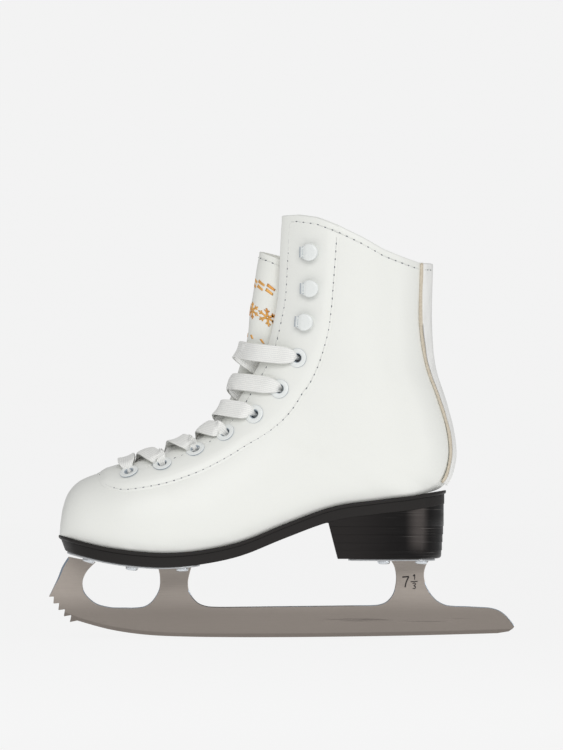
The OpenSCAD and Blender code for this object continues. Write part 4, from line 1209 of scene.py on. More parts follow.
@dataclass
class Boot:
    """The leather boot: shell, lining, facings, backstay and padding."""

    cols: int = 58
    seam: Seam = field(default_factory=Seam)
    topline_drop: float = 2.7
    edge_drop: float = 3.5
    stay_lap: float = 1.2
    eyelet_cut: float = 2.55
    rivet_cut: float = 1.6

    def rows(self) -> Array:
        """Rows for a wall all the way from the toe to the top."""
        toe = np.array([0, 0.12, 0.28, 0.45, 0.65, 0.85])
        foot = np.arange(1.0, LAST.throat_row, 0.16)
        leg = np.linspace(LAST.throat_row, LAST.top, 104)
        return np.concatenate([toe, foot, leg])

    def closed_rows(self, rows: Array) -> int:
        """How many rows are below the throat, where both sides meet."""
        return int(np.sum(rows < LAST.throat_row - 1e-6))

    def rim_bulge(self, rows: Array, wall: float) -> Array:
        """How far the facings' edges are rounded, less where the throat starts."""
        gap = LAST.wall(rows) * (1 - LAST.throat(rows))
        return np.minimum(wall / 2, gap * 0.6)

    def fastener_cutter(self) -> bpy.types.Object:
        """Every hole for an eyelet or a rivet, as one piece to cut with."""
        draft = Draft()
        for side in (OUTER, INNER):
            for spots, radius in ((EYELETS, self.eyelet_cut), (HOOKS, self.rivet_cut)):
                for r, p in spots:
                    seat = Seat.on(r, p, side, 0.0)
                    a = around(24)
                    ring = seat.across * (np.cos(a) * radius)[:, None] + seat.along * (np.sin(a) * radius)[:, None]
                    draft.rings(np.stack([seat.at + seat.out * d + ring for d in (-8.0, 5.0)]))
        return draft.build("fastener_cutter")

    def cut(self, piece: bpy.types.Object, cutter: bpy.types.Object) -> bpy.types.Object:
        """Cuts the fasteners' holes in a piece."""
        return finished(piece, ("BOOLEAN", {"operation": "DIFFERENCE", "solver": "MANIFOLD", "object": cutter}))

    def upper(self) -> bpy.types.Object:
        """The white leather shell."""
        rows = self.rows()
        outer = LAST.wrap(rows, 0.0, self.cols)
        g = (1 - np.cos(np.linspace(0, math.pi, self.cols))) / 2
        p = LAST.throat(rows[:, None]) * (1 - g) + 0.03 * g
        rr = np.broadcast_to(rows[:, None], p.shape)
        fade = ease(rows / 1.5)[:, None]
        for side, part in ((OUTER, slice(0, self.cols)), (INNER, slice(outer.shape[1] - self.cols, None))):
            pushed = LAST.normal(rr, p, side) * (worn(rr, p, side) * fade)[..., None]
            outer[:, part] += pushed if side == OUTER else pushed[:, ::-1]
        ring = rows < LAST.throat_row + 1e-6
        outer[ring, 0] = outer[ring, -1] = (outer[ring, 0] + outer[ring, -1]) / 2
        inner = LAST.wrap(rows, -LEATHER_T, self.cols)
        joined = self.closed_rows(rows)
        return walled(
            "boot_upper", outer, inner, WHITE_LEATHER,
            joined_start=joined, joined_end=joined, bulge=self.rim_bulge(rows, LEATHER_T),
        )  # fmt: skip

    def lining(self) -> bpy.types.Object:
        """The lining, which turns outwards to meet the leather at every edge."""
        rows = self.rows()
        faces = [LAST.wrap(rows, d, self.cols) for d in (-3.1, -LINING_DEPTH)]
        rims = [LAST.wrap(rows, d, self.cols) for d in (-1.85, -2.75)]
        top = ease((rows - (LAST.top - 0.22)) / 0.2)[:, None]
        far = np.linalg.norm(faces[1] - faces[1][:, :1], axis=-1)
        other = np.linalg.norm(faces[1] - faces[1][:, -1:], axis=-1)
        open_rows = ease((rows - LAST.throat_row) / 0.8)[:, None]
        near = ease(1 - np.minimum(far, other) / 3.5) * open_rows
        roll = np.maximum(top, near)[..., None]
        outer, inner = (f * (1 - roll) + e * roll for f, e in zip(faces, rims))
        soft = ripple(inner, 16.0, 21)[..., None] * 0.12 * (1 - roll)
        inner = inner + soft * unit(inner - outer) * ease(rows / 4.0)[:, None, None]
        ring = rows < LAST.throat_row + 1e-6
        inner[ring, 0] = inner[ring, -1] = (inner[ring, 0] + inner[ring, -1]) / 2
        joined = self.closed_rows(rows)
        return walled(
            "boot_lining", outer, inner, LINING_LEATHER,
            joined_start=joined, joined_end=joined, bulge=self.rim_bulge(rows, 1.0),
        )  # fmt: skip

    def stay_edge(self, r: Array, lap: float) -> Array:
        """The facing's outer edge as p, lap millimetres past its stitches."""
        q = through(STAY_LINE, 8)
        shift = 0.1 * lap / 1.2 * (1 - ease((q[:, 0] - 4.9) / 1.1))
        return np.interp(r, q[:, 0] - shift, q[:, 1]) - lap / LAST.wall(np.asarray(r, float))

    def eyestay(self) -> bpy.types.Object:
        """The facings, thinned at their sewn edge and rounded at the throat."""
        start = STAY_LINE[0, 0] - 0.1
        rows = np.concatenate(
            [start + np.array([0, 0.012, 0.035, 0.07, 0.12, 0.18, 0.26, 0.36, 0.48, 0.62]),
             np.linspace(start + 0.78, LAST.throat_row, 4)[:-1], np.linspace(LAST.throat_row, LAST.top, 110)]
        )  # fmt: skip
        cols = 26
        top = np.where(rows <= LAST.throat_row, 1.0, LAST.throat(rows))[:, None]
        low = np.minimum(self.stay_edge(rows, self.stay_lap)[:, None], top - 0.002)
        f = np.linspace(0, 1, cols)[None, :] ** 0.75
        p = top + (low - top) * f
        rr = np.broadcast_to(rows[:, None], p.shape)
        cut = np.minimum((p - low) * LAST.wall(rr), (rr - start) * 11.0 * np.where(rr < 6, 1, 9))
        thick = np.interp(cut, [0, 0.5, 1.25, 2.1, 3.6, 5.5], [0.08, 0.24, 0.3, 0.62, 1.12, STACK_TOP - 0.03])
        throat_cut = (top - p) * LAST.wall(rr)
        groove = np.exp(-(((throat_cut - self.edge_drop) / 0.5) ** 2)) * (rr > 6.1) * 0.18
        topmost = (LAST.top - rr) * 22.0
        groove = np.maximum(groove, np.exp(-(((topmost - self.topline_drop) / 0.5) ** 2)) * 0.18)
        draft = Draft()
        joined = self.closed_rows(rows)
        faces, backs = [], []
        for side in (OUTER, INNER):
            uneven = worn(rr, p, side) * 0.6
            faces.append(LAST.over(rr, p, side, thick - groove + uneven))
            backs.append(LAST.over(rr, p, side, np.full(p.shape, 0.04) + np.minimum(uneven, 0.1)))
        for pair in (faces, backs):
            ridge = (pair[0][: joined + 1, 0] + pair[1][: joined + 1, 0]) / 2
            for grid in pair:
                grid[: joined + 1, 0] = ridge
        for outer, inner in zip(faces, backs):
            shell(draft, outer, inner, joined, 0, self.rim_bulge(rows, STACK_TOP))
        return draft.build("eyestay_leather", WHITE_LEATHER)

    def backstay(self) -> bpy.types.Object:
        """The strip up the back, whose raw edges show."""
        rows = np.linspace(14.1, LAST.top, 70)
        reach = np.interp(rows, [14, 16, 17, 18, 19, 20], [0.02, 0.026, 0.036, 0.046, 0.06, 0.06])
        f = np.linspace(0.02, 1, 14)
        p = np.clip(reach[:, None] * f[None, :] ** 1.5, 0.0004, 1)
        rr = np.broadcast_to(rows[:, None], p.shape)
        crinkle = ripple(LAST.skin(rr, p, OUTER), 9.0, 17) * 0.14

        def sheet(depth: float, rough: float) -> Array:
            """One face of the strip, from its outer edge to its inner one."""
            halves = [LAST.over(rr, p, s, depth + crinkle * rough) for s in (OUTER, INNER)]
            middle = self.spine_line(rows, depth)
            return np.concatenate([halves[0][:, ::-1], middle[:, None], halves[1]], axis=1)

        outer, inner = sheet(STACK_TOP, 1.0), sheet(0.06, 0.0)
        for col, behind in ((0, 1), (-1, -2)):
            slant = unit(outer[:, behind] - outer[:, col])
            outer[:, col] += slant * 0.95
        return walled("backstay_leather", outer, inner, BACK_LEATHER, RAW_EDGE, end_slot=1, steps=2)

    def spine_line(self, rows: Array, depth: float) -> Array:
        """The line up the middle of the back."""
        return LAST.tread(rows, 1, 0.0, depth)

    def padding(self) -> bpy.types.Object:
        """The foam round the ankle, between the leather and the lining."""
        rows = np.linspace(16.4, 19.3, 24)
        g = np.linspace(0.03, 0.62, 22)
        p = np.broadcast_to(g[None, :], (len(rows), len(g)))
        rr = np.broadcast_to(rows[:, None], p.shape)

        def sheet(depth: float) -> Array:
            """One face of the pad."""
            edge = ease(np.minimum((rr - 16.4) / 0.5, (19.3 - rr) / 0.5)) * ease((0.62 - p) / 0.08)
            mid = -2.4 + (depth + 2.4) * (0.35 + 0.65 * edge)
            sides = [LAST.over(rr, p, s, mid) for s in (OUTER, INNER)]
            middle = self.spine_line(rows, depth)[:, None]
            return np.concatenate([sides[0][:, ::-1], middle, sides[1]], axis=1)

        return walled("ankle_foam", sheet(-1.9), sheet(-2.9), FOAM)

    def footbed(self) -> bpy.types.Object:
        """The removable footbed, crowned and felted."""
        rows = np.linspace(3.0, 12.8, 70)
        shares = np.sin(np.linspace(-math.pi / 2, math.pi / 2, 25))

        def sheet(depth: float) -> Array:
            """One face of the footbed."""
            return np.stack(
                [LAST.tread(rows, -1 if s < 0 else 1, abs(s) * 0.72, -(depth + dip)) for s, dip in zip(shares, dips)],
                axis=1,
            )

        dips = np.zeros(25)
        low = sheet(4.5)
        dips = -0.4 * np.abs(shares) ** 3
        high = sheet(7.4)
        return walled("footbed_pad", low, high, FOOTBED_FELT, steps=4)

    def seams(self) -> list[bpy.types.Object]:
        """Stitches round the facings, along their front edges and below the topline."""
        made: list[bpy.types.Object] = []
        line = through(STAY_LINE, 10)
        line = line[line[:, 0] < float(LAST.below_top(0.6, self.topline_drop + 0.8))]
        ring_r = np.concatenate([line[::-1, 0], line[1:, 0]])
        ring_p = np.minimum(np.concatenate([line[::-1, 1], line[1:, 1]]), 0.9995)
        ring_s = np.concatenate([np.full(len(line), OUTER), np.full(len(line) - 1, INNER)])
        at = LAST.over(ring_r, ring_p, ring_s, np.full(ring_r.shape, 0.36))
        made += self.seam.sew("facing", at, LAST.normal(ring_r, ring_p, ring_s))
        for side, word in ((OUTER, "outer"), (INNER, "inner")):
            r = np.linspace(6.9, float(LAST.below_top(0.9, self.topline_drop)), 200)
            p = LAST.throat(r) - self.edge_drop / LAST.wall(r)
            at = LAST.over(r, p, side, np.full(r.shape, STACK_TOP - 0.08))
            made += self.seam.sew(f"{word}_edge", at, LAST.normal(r, p, side))
            p = np.linspace(float(LAST.throat(20.0)) - self.edge_drop / float(LAST.wall(20.0)), 0.064, 160)
            r = LAST.below_top(p, self.topline_drop)
            stay = float(self.stay_edge(np.array(19.8), self.stay_lap))
            high = np.interp(p, [stay, stay + 0.03], [0.12, STACK_TOP - 0.08])
            at = LAST.over(r, p, side, high)
            made += self.seam.sew(f"{word}_topline", at, LAST.normal(r, p, side))
            p = np.linspace(0.05, 0.004, 12)
            r = LAST.below_top(p, self.topline_drop)
            at = LAST.over(r, p, side, np.full(p.shape, STACK_TOP + 0.1))
            made += self.seam.sew(f"{word}_back_tab", at, LAST.normal(r, p, side))
        return made

    def build(self) -> None:
        """Makes every piece of the boot and seats it on the frame."""
        cutter = self.fastener_cutter()
        for make, node in ((self.upper, "upper"), (self.lining, "lining"), (self.eyestay, "eyestay")):
            piece = self.cut(make(), cutter)
            settle(piece, Body.BOOT, "lining" if node == "lining" else "leather", node)
        bpy.data.objects.remove(cutter)
        settle(self.backstay(), Body.BOOT, "leather", "backstay")
        pad = settle(self.padding(), Body.BOOT, "foam", "ankle_padding")
        bed = settle(self.footbed(), Body.BOOT, "foam", "footbed")
        for piece in joined("boot_stitches", self.seams()):
            settle(piece, Body.BOOT)


def settle(piece: bpy.types.Object, body: Body, slot: str | None = None, *nodes: str) -> bpy.types.Object:
    """Makes a piece ride on a body.

    Args:
        piece: the finished piece.
        body: what it rides on.
        slot: the record's material slot, if it has one; not used.
        nodes: the frame's nodes that it stands for.

    Returns:
        The same piece.
    """
    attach(piece, body.value)
    if nodes:
        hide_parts(*nodes)
    LOG.info("%s: %d faces on %s", piece.name, len(piece.data.polygons), body.value)
    return piece


def joined(name: str, pieces: list[bpy.types.Object]) -> list[bpy.types.Object]:
    """Joins pieces that share a finish, and returns one for each finish."""
    groups: dict[str, list[bpy.types.Object]] = {}
    for piece in pieces:
        groups.setdefault(piece.data.materials[0].name, []).append(piece)
    made = []
    for finish, members in groups.items():
        with bpy.context.temp_override(active_object=members[0], selected_editable_objects=members):
            bpy.ops.object.join()
        members[0].name = members[0].data.name = f"{name}_{finish}"
        made.append(members[0])
    return made


# ---------------------------------------------------------------- the tongue
@dataclass
class Tongue:
    """The padded tongue: wide under the facings, and a free channel above the top lace."""

    rise: tuple[tuple[float, float], ...] = (
        (5.4, -4.6), (7, -2.6), (10, -1.4), (13, 0.2), (15, 2.6), (16, 4.2), (17, 6.6), (18, 7.2), (19.1, 5.8),
    )  # fmt: skip
    wing: float = 0.8
    wing_depth: float = 7.5
    half: float = 10.0
    wing_length: float = 20.0
    first: float = 5.4
    last: float = 19.05
    start: float = 15.7
    end: float = 17.0
    thick: float = 4.0

    def lift(self, r: Any) -> Array:
        """How far the tongue's middle stands past the ridge."""
        q = through(self.rise, 6)
        return np.interp(r, q[:, 0], q[:, 1])

    def low_place(self, r: Array, f: Array, down: Array) -> Array:
        """A point of the part under the facings; f runs from -1 on the outer side to 1."""
        side, a = np.where(f < 0, OUTER, INNER), np.abs(f)
        edge = LAST.throat(np.maximum(r, 6.6))
        inner = 0.6
        p = np.where(
            a < inner, 1 - (1 - edge) * (a / inner) ** 2, edge + (self.wing - edge) * (a - inner) / (1 - inner)
        )
        blend = np.where(a < inner, np.clip(1 - (a / inner) ** 2, 0, 1) ** 2, 0)
        depth = -self.wing_depth + (self.lift(r) + self.wing_depth) * blend
        return LAST.over(r, p, side, depth - down)

    def high_place(self, r: Array, f: Array, down: Array) -> Array:
        """A point of the free channel."""
        a = np.abs(f)
        r = r + np.where(f > 0, 0.16, 0.0) * a * ease((r - 17.5) / 1.5)
        q = LAST.section(r)
        ahead = unit(q[..., 2:4] - q[..., 0:2])
        nose = q[..., 2:4] + ahead * (self.lift(r) - down)[..., None]
        angle = np.radians(90 * np.minimum(a / 0.6, 1))
        half = self.half - down
        behind = half * 1.15 * (1 - np.cos(angle)) + np.maximum(a - 0.6, 0) / 0.4 * (self.wing_length - half)
        at = nose - ahead * behind[..., None]
        return np.stack([at[..., 0], np.sign(f) * half * np.sin(angle), at[..., 1]], -1)

    def place(self, r: Array, f: Array, down: Array) -> Array:
        """A point of the tongue, down millimetres under its face."""
        r, f, down = np.broadcast_arrays(np.asarray(r, float), np.asarray(f, float), np.asarray(down, float))
        w = ease((r - 15.0) / 1.5)[..., None]
        return self.low_place(r, f, down) * (1 - w) + self.high_place(r, f, down) * w

    def sheets(self) -> tuple[Array, Array]:
        """The face and the back of the tongue as grids."""
        rows = np.linspace(self.first, self.last, 120)
        f = np.linspace(-1, 1, 61)
        rr, ff = np.meshgrid(rows, f, indexing="ij")
        wall = np.interp(rr, [self.first, 15, 17], [2.3, 2.4, self.thick - 0.2])
        edge = np.minimum((self.last - rr) * 17.0, 40.0)
        rim = np.interp(edge, [0, 1.4, 2.3, 4.5, 9], [0.34, 0.42, 0.36, 0.75, 1.0])
        rim = np.minimum(rim, np.interp(1 - np.abs(ff), [0, 0.03, 0.12], [0.45, 0.6, 1.0]))
        dent = np.exp(-(((edge - 2.3) / 0.5) ** 2)) * 0.22
        face_at = self.place(rr, ff, dent + (1 - rim) * wall * 0.12)
        puff = ripple(face_at, 17.0, 31) * 0.12
        face = self.place(rr, ff, dent + (1 - rim) * wall * 0.12 - puff)
        back = self.place(rr, ff, wall * rim)
        return face, back

    def ornament(self) -> bpy.types.Object:
        """Gold foil: snowflakes between rows of slanted bars, stamped on the free part."""
        draft = Draft()
        per_row = 16.5

        def stroke(x0: float, y0: float, x1: float, y1: float, w0: float, w1: float) -> None:
            """A tapering bar between two points given across and up the tongue, in millimetres."""
            a, b = np.array([x0, y0]), np.array([x1, y1])
            n = max(3, int(np.linalg.norm(b - a) / 0.6) + 1)
            t = np.linspace(0, 1, n)[:, None]
            way = unit(b - a)
            sideways = np.array([-way[1], way[0]])
            spine = a + (b - a) * t
            wide = (w0 + (w1 - w0) * t) / 2
            edge = np.stack([spine - sideways * wide, spine + sideways * wide], 1)
            f = np.sign(edge[..., 0]) * np.minimum(np.abs(edge[..., 0]) / 16.0 * 0.6, 0.98)
            r = 16.4 + edge[..., 1] / per_row
            lifted = [self.place(r, f, np.full(f.shape, d)) for d in (-0.16, 0.06)]
            loop = np.concatenate([lifted[0], lifted[1][:, ::-1]], axis=1)
            draft.rings(loop)

        def flake(x: float, y: float, size: float) -> None:
            """A six-armed flake."""
            for k in range(6):
                a = math.radians(60 * k + 18)
                ux, uy = math.cos(a), math.sin(a)
                stroke(x + ux * 0.3, y + uy * 0.3, x + ux * size, y + uy * size, 1.5, 0.9)
                for turn in (0.8, -0.8):
                    bx, by = math.cos(a + turn), math.sin(a + turn)
                    x0, y0 = x + ux * size * 0.55, y + uy * size * 0.55
                    stroke(x0, y0, x0 + bx * size * 0.34, y0 + by * size * 0.34, 1.0, 0.7)

        for x in (-14.4, -4.8, 4.8, 14.4):
            flake(x, 11.0, 5.3)
        for x in (-13.5, -8.0, -2.6, 2.6, 8.0, 13.5):
            stroke(x - 1.6, 25.6, x + 2.3, 26.8, 1.3, 1.9)
            stroke(x - 2.2, 28.4, x + 2.0, 29.6, 1.3, 1.9)
        for x in (-12.0, -6.0, 0.0, 6.0, 12.0):
            stroke(x - 0.5, -6.6, x + 0.8, -4.4, 1.3, 1.5)
        return draft.build("tongue_foil_ornament", GOLD)

    def build(self) -> None:
        """Makes the tongue, its foil and its stitches, all shaped to the bend of its free part."""
        body = walled("tongue_padded", *self.sheets(), TONGUE_LEATHER)
        r = np.full(120, self.last - 2.4 / 17.0)
        f = np.linspace(-0.97, 0.97, 120)
        line = self.place(r, f, np.full(120, 0.14))
        out = unit(line - self.place(r, f, np.full(120, 2.0)))
        seam = joined("tongue", Seam(4.2).sew("tongue_top", line, out))
        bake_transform(body)
        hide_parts("tongue_base", "tongue_top")
        for piece in (self.ornament(), *seam):
            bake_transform(piece)
            LOG.info("%s bends with the tongue", piece.name)


# ---------------------------------------------------------------- the lace
@dataclass(frozen=True)
class LaceSpot:
    """A place that the lace passes, on the leather."""

    r: float
    p: float
    side: int
    depth: float
    share: float


@dataclass
class Lace:
    """The flat lace: laced part, free ends, coils and tips."""

    width: float = 9.0
    thick: float = 1.2
    under: float = -5.9
    over_edge: float = STACK_TOP + FLANGE_T + 0.9
    ribs: int = 9
    coil_x: float = 49.0
    turns: tuple[float, float] = (18.0, 14.7)
    gap: float = 0.3
    tip_length: float = 17.0
    tip_off: float = 7.0
    tip_d: float = 2.6

    def down_hole(self, k: int, side: int) -> list[LaceSpot]:
        """The lace going down through an eyelet."""
        r, p = EYELETS[k]
        aside = 1.0 / float(LAST.wall(r))
        return [
            LaceSpot(r - 0.02, p + aside * 2.0, side, STACK_TOP + FLANGE_T + 0.95, 0.72),
            LaceSpot(r, p + aside, side, 0.4, 0.34),
            LaceSpot(r, p + aside * 0.6, side, -1.9, 0.3),
            LaceSpot(r, p, side, self.under - 0.1, 0.34),
        ]

    def crossing(self, k: int, side: int, high: float) -> list[LaceSpot]:
        """The lace from under one facing, over the tongue, to the next eyelet on the other side."""
        ar, (br, bp) = EYELETS[k][0], EYELETS[k + 1]
        mid = (ar + br) / 2
        tongue = np.array(Tongue().rise)
        top = max(1.25 * float(np.interp(mid, tongue[:, 0], tongue[:, 1])) + 0.2, -1.2)
        edge_a, edge_b = float(LAST.throat(ar + 0.3)), float(LAST.throat(br - 0.3))
        d = br - ar
        return [
            LaceSpot(ar + 0.22 * d, edge_a, side, self.under, 0.85),
            LaceSpot(ar + 0.38 * d, edge_a + 0.62 * (1 - edge_a), side, top - 0.6 + high / 2, 1),
            LaceSpot(mid, 0.9995, side, top + 1.2 + high, 1),
            LaceSpot(ar + 0.62 * d, edge_b + 0.024, -side, max(self.over_edge, top + 0.9) + 1.0 + high / 2, 1),
            LaceSpot(ar + 0.88 * d, (bp + edge_b) / 2, -side, self.over_edge + 1.3, 1.0),
        ]

    def half(self, start: int) -> list[LaceSpot]:
        """One half of the lace from the middle of the straight bar to the top eyelet."""
        row = EYELETS[0][0]
        spots = [
            LaceSpot(row, 0.9995, start, self.over_edge + 0.4, 1),
            LaceSpot(row, 0.96, start, self.over_edge + 0.3, 0.98),
            *self.down_hole(0, start),
        ]
        for k in range(len(EYELETS) - 1):
            side = start if k % 2 == 0 else -start
            high = 1.5 if (k % 2 == 0) == (start > 0) else 0.0
            spots += self.crossing(k, side, high) + self.down_hole(k + 1, -side)
        return spots

    def spots(self) -> list[LaceSpot]:
        """The whole laced part, from the outer or inner top eyelet to the other."""
        return self.half(OUTER)[::-1] + self.half(INNER)[1:]

    def ribbon(
        self, name: str, line: Array, widths: Array, shares: Array, step: float = 0.8, cup: float = 0.9
    ) -> tuple[bpy.types.Object, Array]:
        """A woven band along a line.

        Args:
            name: the piece's name.
            line: points that it follows, in millimetres.
            widths: the direction across the band at each.
            shares: the share of its full width at each.
            step: the distance from ring to ring.
            cup: how far its edges turn up where it is narrowed.

        Returns:
            The band and the rings' middles.
        """
        far = lengths(line)
        count = max(8, int(far[-1] / step))
        places = np.linspace(0, far[-1], count)
        mid, w = sampled(line, far, places), sampled(widths, far, places)
        share = np.interp(places, far, shares)[:, None]
        t = unit(np.gradient(mid, axis=0))
        w = unit(w - np.sum(w * t, -1, keepdims=True) * t)
        n = np.cross(t, w)
        half = self.width / 2 * share
        fat = self.thick / 2 * (1 + 0.75 * (1 - share))
        m = self.ribs * 4 + 1
        c = np.linspace(1, -1, m)
        rib = 0.16 * np.cos(c * math.pi * self.ribs)
        body = np.sqrt(np.clip(1 - np.abs(c) ** 8, 0.0, 1)) * 0.85 + 0.15
        curl = (np.abs(c) ** 2)[None, :] * (1 - share) * cup * 2.4
        bow = -(c**2)[None, :] * share * 0.75
        top = (body + rib)[None, :] * fat + curl + bow
        low = -(body + rib * 0.6)[None, :] * fat + curl + bow
        x = np.concatenate([c, c[::-1]])[None, :] * half
        y = np.concatenate([top, low[:, ::-1]], axis=1)
        rings = mid[:, None] + w[:, None] * x[..., None] + n[:, None] * y[..., None]
        piece = tube(name, rings, LACE_WEAVE, merge=1e-4)
        self.weave(piece, mid, places, w)
        return piece, mid

    def weave(self, piece: bpy.types.Object, mid: Array, places: Array, w: Array) -> None:
        """Gives a band its UV map: millimetres along it and across it."""
        mesh = piece.data
        co = np.zeros(len(mesh.vertices) * 3)
        mesh.vertices.foreach_get("co", co)
        co = co.reshape(-1, 3) / MM
        parts = np.array_split(co, max(1, len(co) // 800))
        nearest = np.concatenate([np.linalg.norm(q[:, None] - mid[None], axis=-1).argmin(1) for q in parts])
        across = np.sum((co - mid[nearest]) * w[nearest], -1)
        uv = mesh.uv_layers.new(name="weave")
        index = np.zeros(len(mesh.loops), int)
        mesh.loops.foreach_get("vertex_index", index)
        uv.data.foreach_set("uv", np.stack([places[nearest], across], -1)[index].ravel())

    def laced(self) -> tuple[bpy.types.Object, Array]:
        """The part that is laced through the eyelets."""
        spots = self.spots()
        at = np.array([LAST.over(s.r, s.p, s.side, s.depth) for s in spots])
        rows = np.array([LAST.along_row(s.r, s.p, s.side) for s in spots])
        share = np.array([[s.share] for s in spots])
        fine = through(np.hstack([at, rows, share]), 12)
        shares = np.clip(fine[:, 6], 0.26, 1.0)
        return self.ribbon("lace_laced", fine[:, :3], fine[:, 3:6], shares)

    def coil_frame(self) -> tuple[Array, Array, Array, Array]:
        """The coils' origin on the footbed and their three directions."""
        table = through([(q[0], q[1]) for q in LAST.rows[:14]], 20)
        z = lambda x: float(np.interp(x, table[:, 0], table[:, 1]))
        tilt = math.atan((z(self.coil_x + 15) - z(self.coil_x - 15)) / 30)
        base = np.array([self.coil_x, 0, z(self.coil_x) + LINING_DEPTH + 4.0])
        along = np.array([math.cos(tilt), 0, math.sin(tilt)])
        up = np.array([-math.sin(tilt), 0, math.cos(tilt)])
        return base, along, np.array([0.0, 1.0, 0.0]), up

    def tail_route(self, side: int) -> tuple[Array, Array]:
        """The free end from its eyelet down into the boot, round its coil and to its tip.

        Args:
            side: which eyelet it leaves.

        Returns:
            The route's points and the direction across the lace at each.
        """
        base, ax, ay, az = self.coil_frame()
        height = 2 * self.width + self.gap
        floor = 0.0 if side < 0 else height + self.gap
        high, low = floor + height - self.width / 2, floor + self.width / 2
        outer, inner = self.turns
        begin = -2.0
        end = 2 * math.pi * 3.86
        a = np.arange(begin, end, 2 * math.pi / 48)
        turn = (a - begin) / (2 * math.pi)
        drop = lambda whole: ease((turn - (whole - 0.17)) / 0.16)
        level = high + (low - high) * (drop(1) - drop(3))
        radius = outer - (outer - inner) * ease((turn - 1.75) / 0.16)
        angle = a * -side if side < 0 else a * -1
        flat = ax * (radius * np.cos(angle))[:, None] + ay * (radius * np.sin(angle))[:, None]
        wound = base + flat + az * level[:, None]
        spot = self.down_hole(len(EYELETS) - 1, side)[-1]
        start = LAST.over(spot.r, spot.p, side, np.array(spot.depth - 1.2))
        drops = {
            OUTER: [[15, -17, 131], [21, -17, 118], [25.5, -18, 106], [29, -18.8, 98]],
            INNER: [[15, 17, 131], [20, 17, 122], [24.5, 18, 115.5], [29, 18.7, 111.5]],
        }[side]
        tip = base + ax * -self.tip_length / 2 + ay * side * self.tip_off + az * high
        lead = tip - ax * 3.0 + ay * side * 0.6
        run = np.vstack([start, drops])
        route = np.vstack([through(np.vstack([run, wound[:1]]), 5)[:-1], wound, lead, tip])
        smooth = through(route, 2)
        settled = int(5 * len(run) * 2 * 0.8)
        up = np.tile(az, (len(smooth), 1))
        t = unit(np.gradient(smooth, axis=0))
        slack = unit(np.cross(t, ay))
        slack *= np.where(np.sum(slack * az, -1, keepdims=True) < 0, -1, 1)
        w = ease((np.arange(len(smooth)) - settled * 0.5) / (settled * 0.5))[:, None]
        return smooth, unit(slack * (1 - w) + up * w)

    def tip(self, side: int) -> bpy.types.Object:
        """The film tip on one end, rolled tight, with a crimp."""
        base, ax, ay, az = self.coil_frame()
        height = 2 * self.width + self.gap
        floor = 0.0 if side < 0 else height + self.gap
        at = base + ay * side * self.tip_off + az * (floor + height - self.width / 2)
        t = np.linspace(-0.5, 0.5, 22)
        r = self.tip_d / 2 * np.interp(np.abs(t), [0, 0.44, 0.48, 0.5], [1, 1, 0.9, 0.62])
        r = r * (1 - 0.06 * np.exp(-(((t - 0.36) / 0.02) ** 2)) - 0.06 * np.exp(-(((t + 0.36) / 0.02) ** 2)))
        a = around(20)
        rings = (
            at
            + (t * self.tip_length)[:, None, None] * ax
            + (r[:, None] * np.cos(a))[..., None] * ay
            + (r[:, None] * np.sin(a))[..., None] * az
        )
        return tube(f"lace_tip_{'outer' if side < 0 else 'inner'}", rings, AGLET_FILM, sharp=50)

    def build(self) -> None:
        """Makes the lace's three stretches, the laced part and the two free ends, with their tips, and logs their
        lengths.
        """
        piece, mid = self.laced()
        settle(piece, Body.BOOT, "lace", "lace")
        long = float(lengths(mid)[-1]) * MM
        total = long
        for side, word in ((OUTER, "left"), (INNER, "right")):
            route, widths = self.tail_route(side)
            shares = np.interp(lengths(route), [0, 9], [0.4, 1.0])
            far = lengths(route)
            shares = np.minimum(shares, np.interp(far[-1] - far, [0, 10], [0.28, 1.0]))
            tail, mid = self.ribbon(f"lace_tail_{word}", route, widths, shares, 1.2, 0.0)
            settle(tail, Body.BOOT, "lace", f"lace_end_{word}", f"lace_coil_{word}")
            tip = settle(self.tip(side), Body.BOOT, "aglet", f"aglet_{word}")
            size = float(lengths(mid)[-1]) * MM
            total += size
            LOG.info("free end %s is %.0f mm long", word, size / MM)
        LOG.info("the lace is %.0f mm long in all", total / MM)


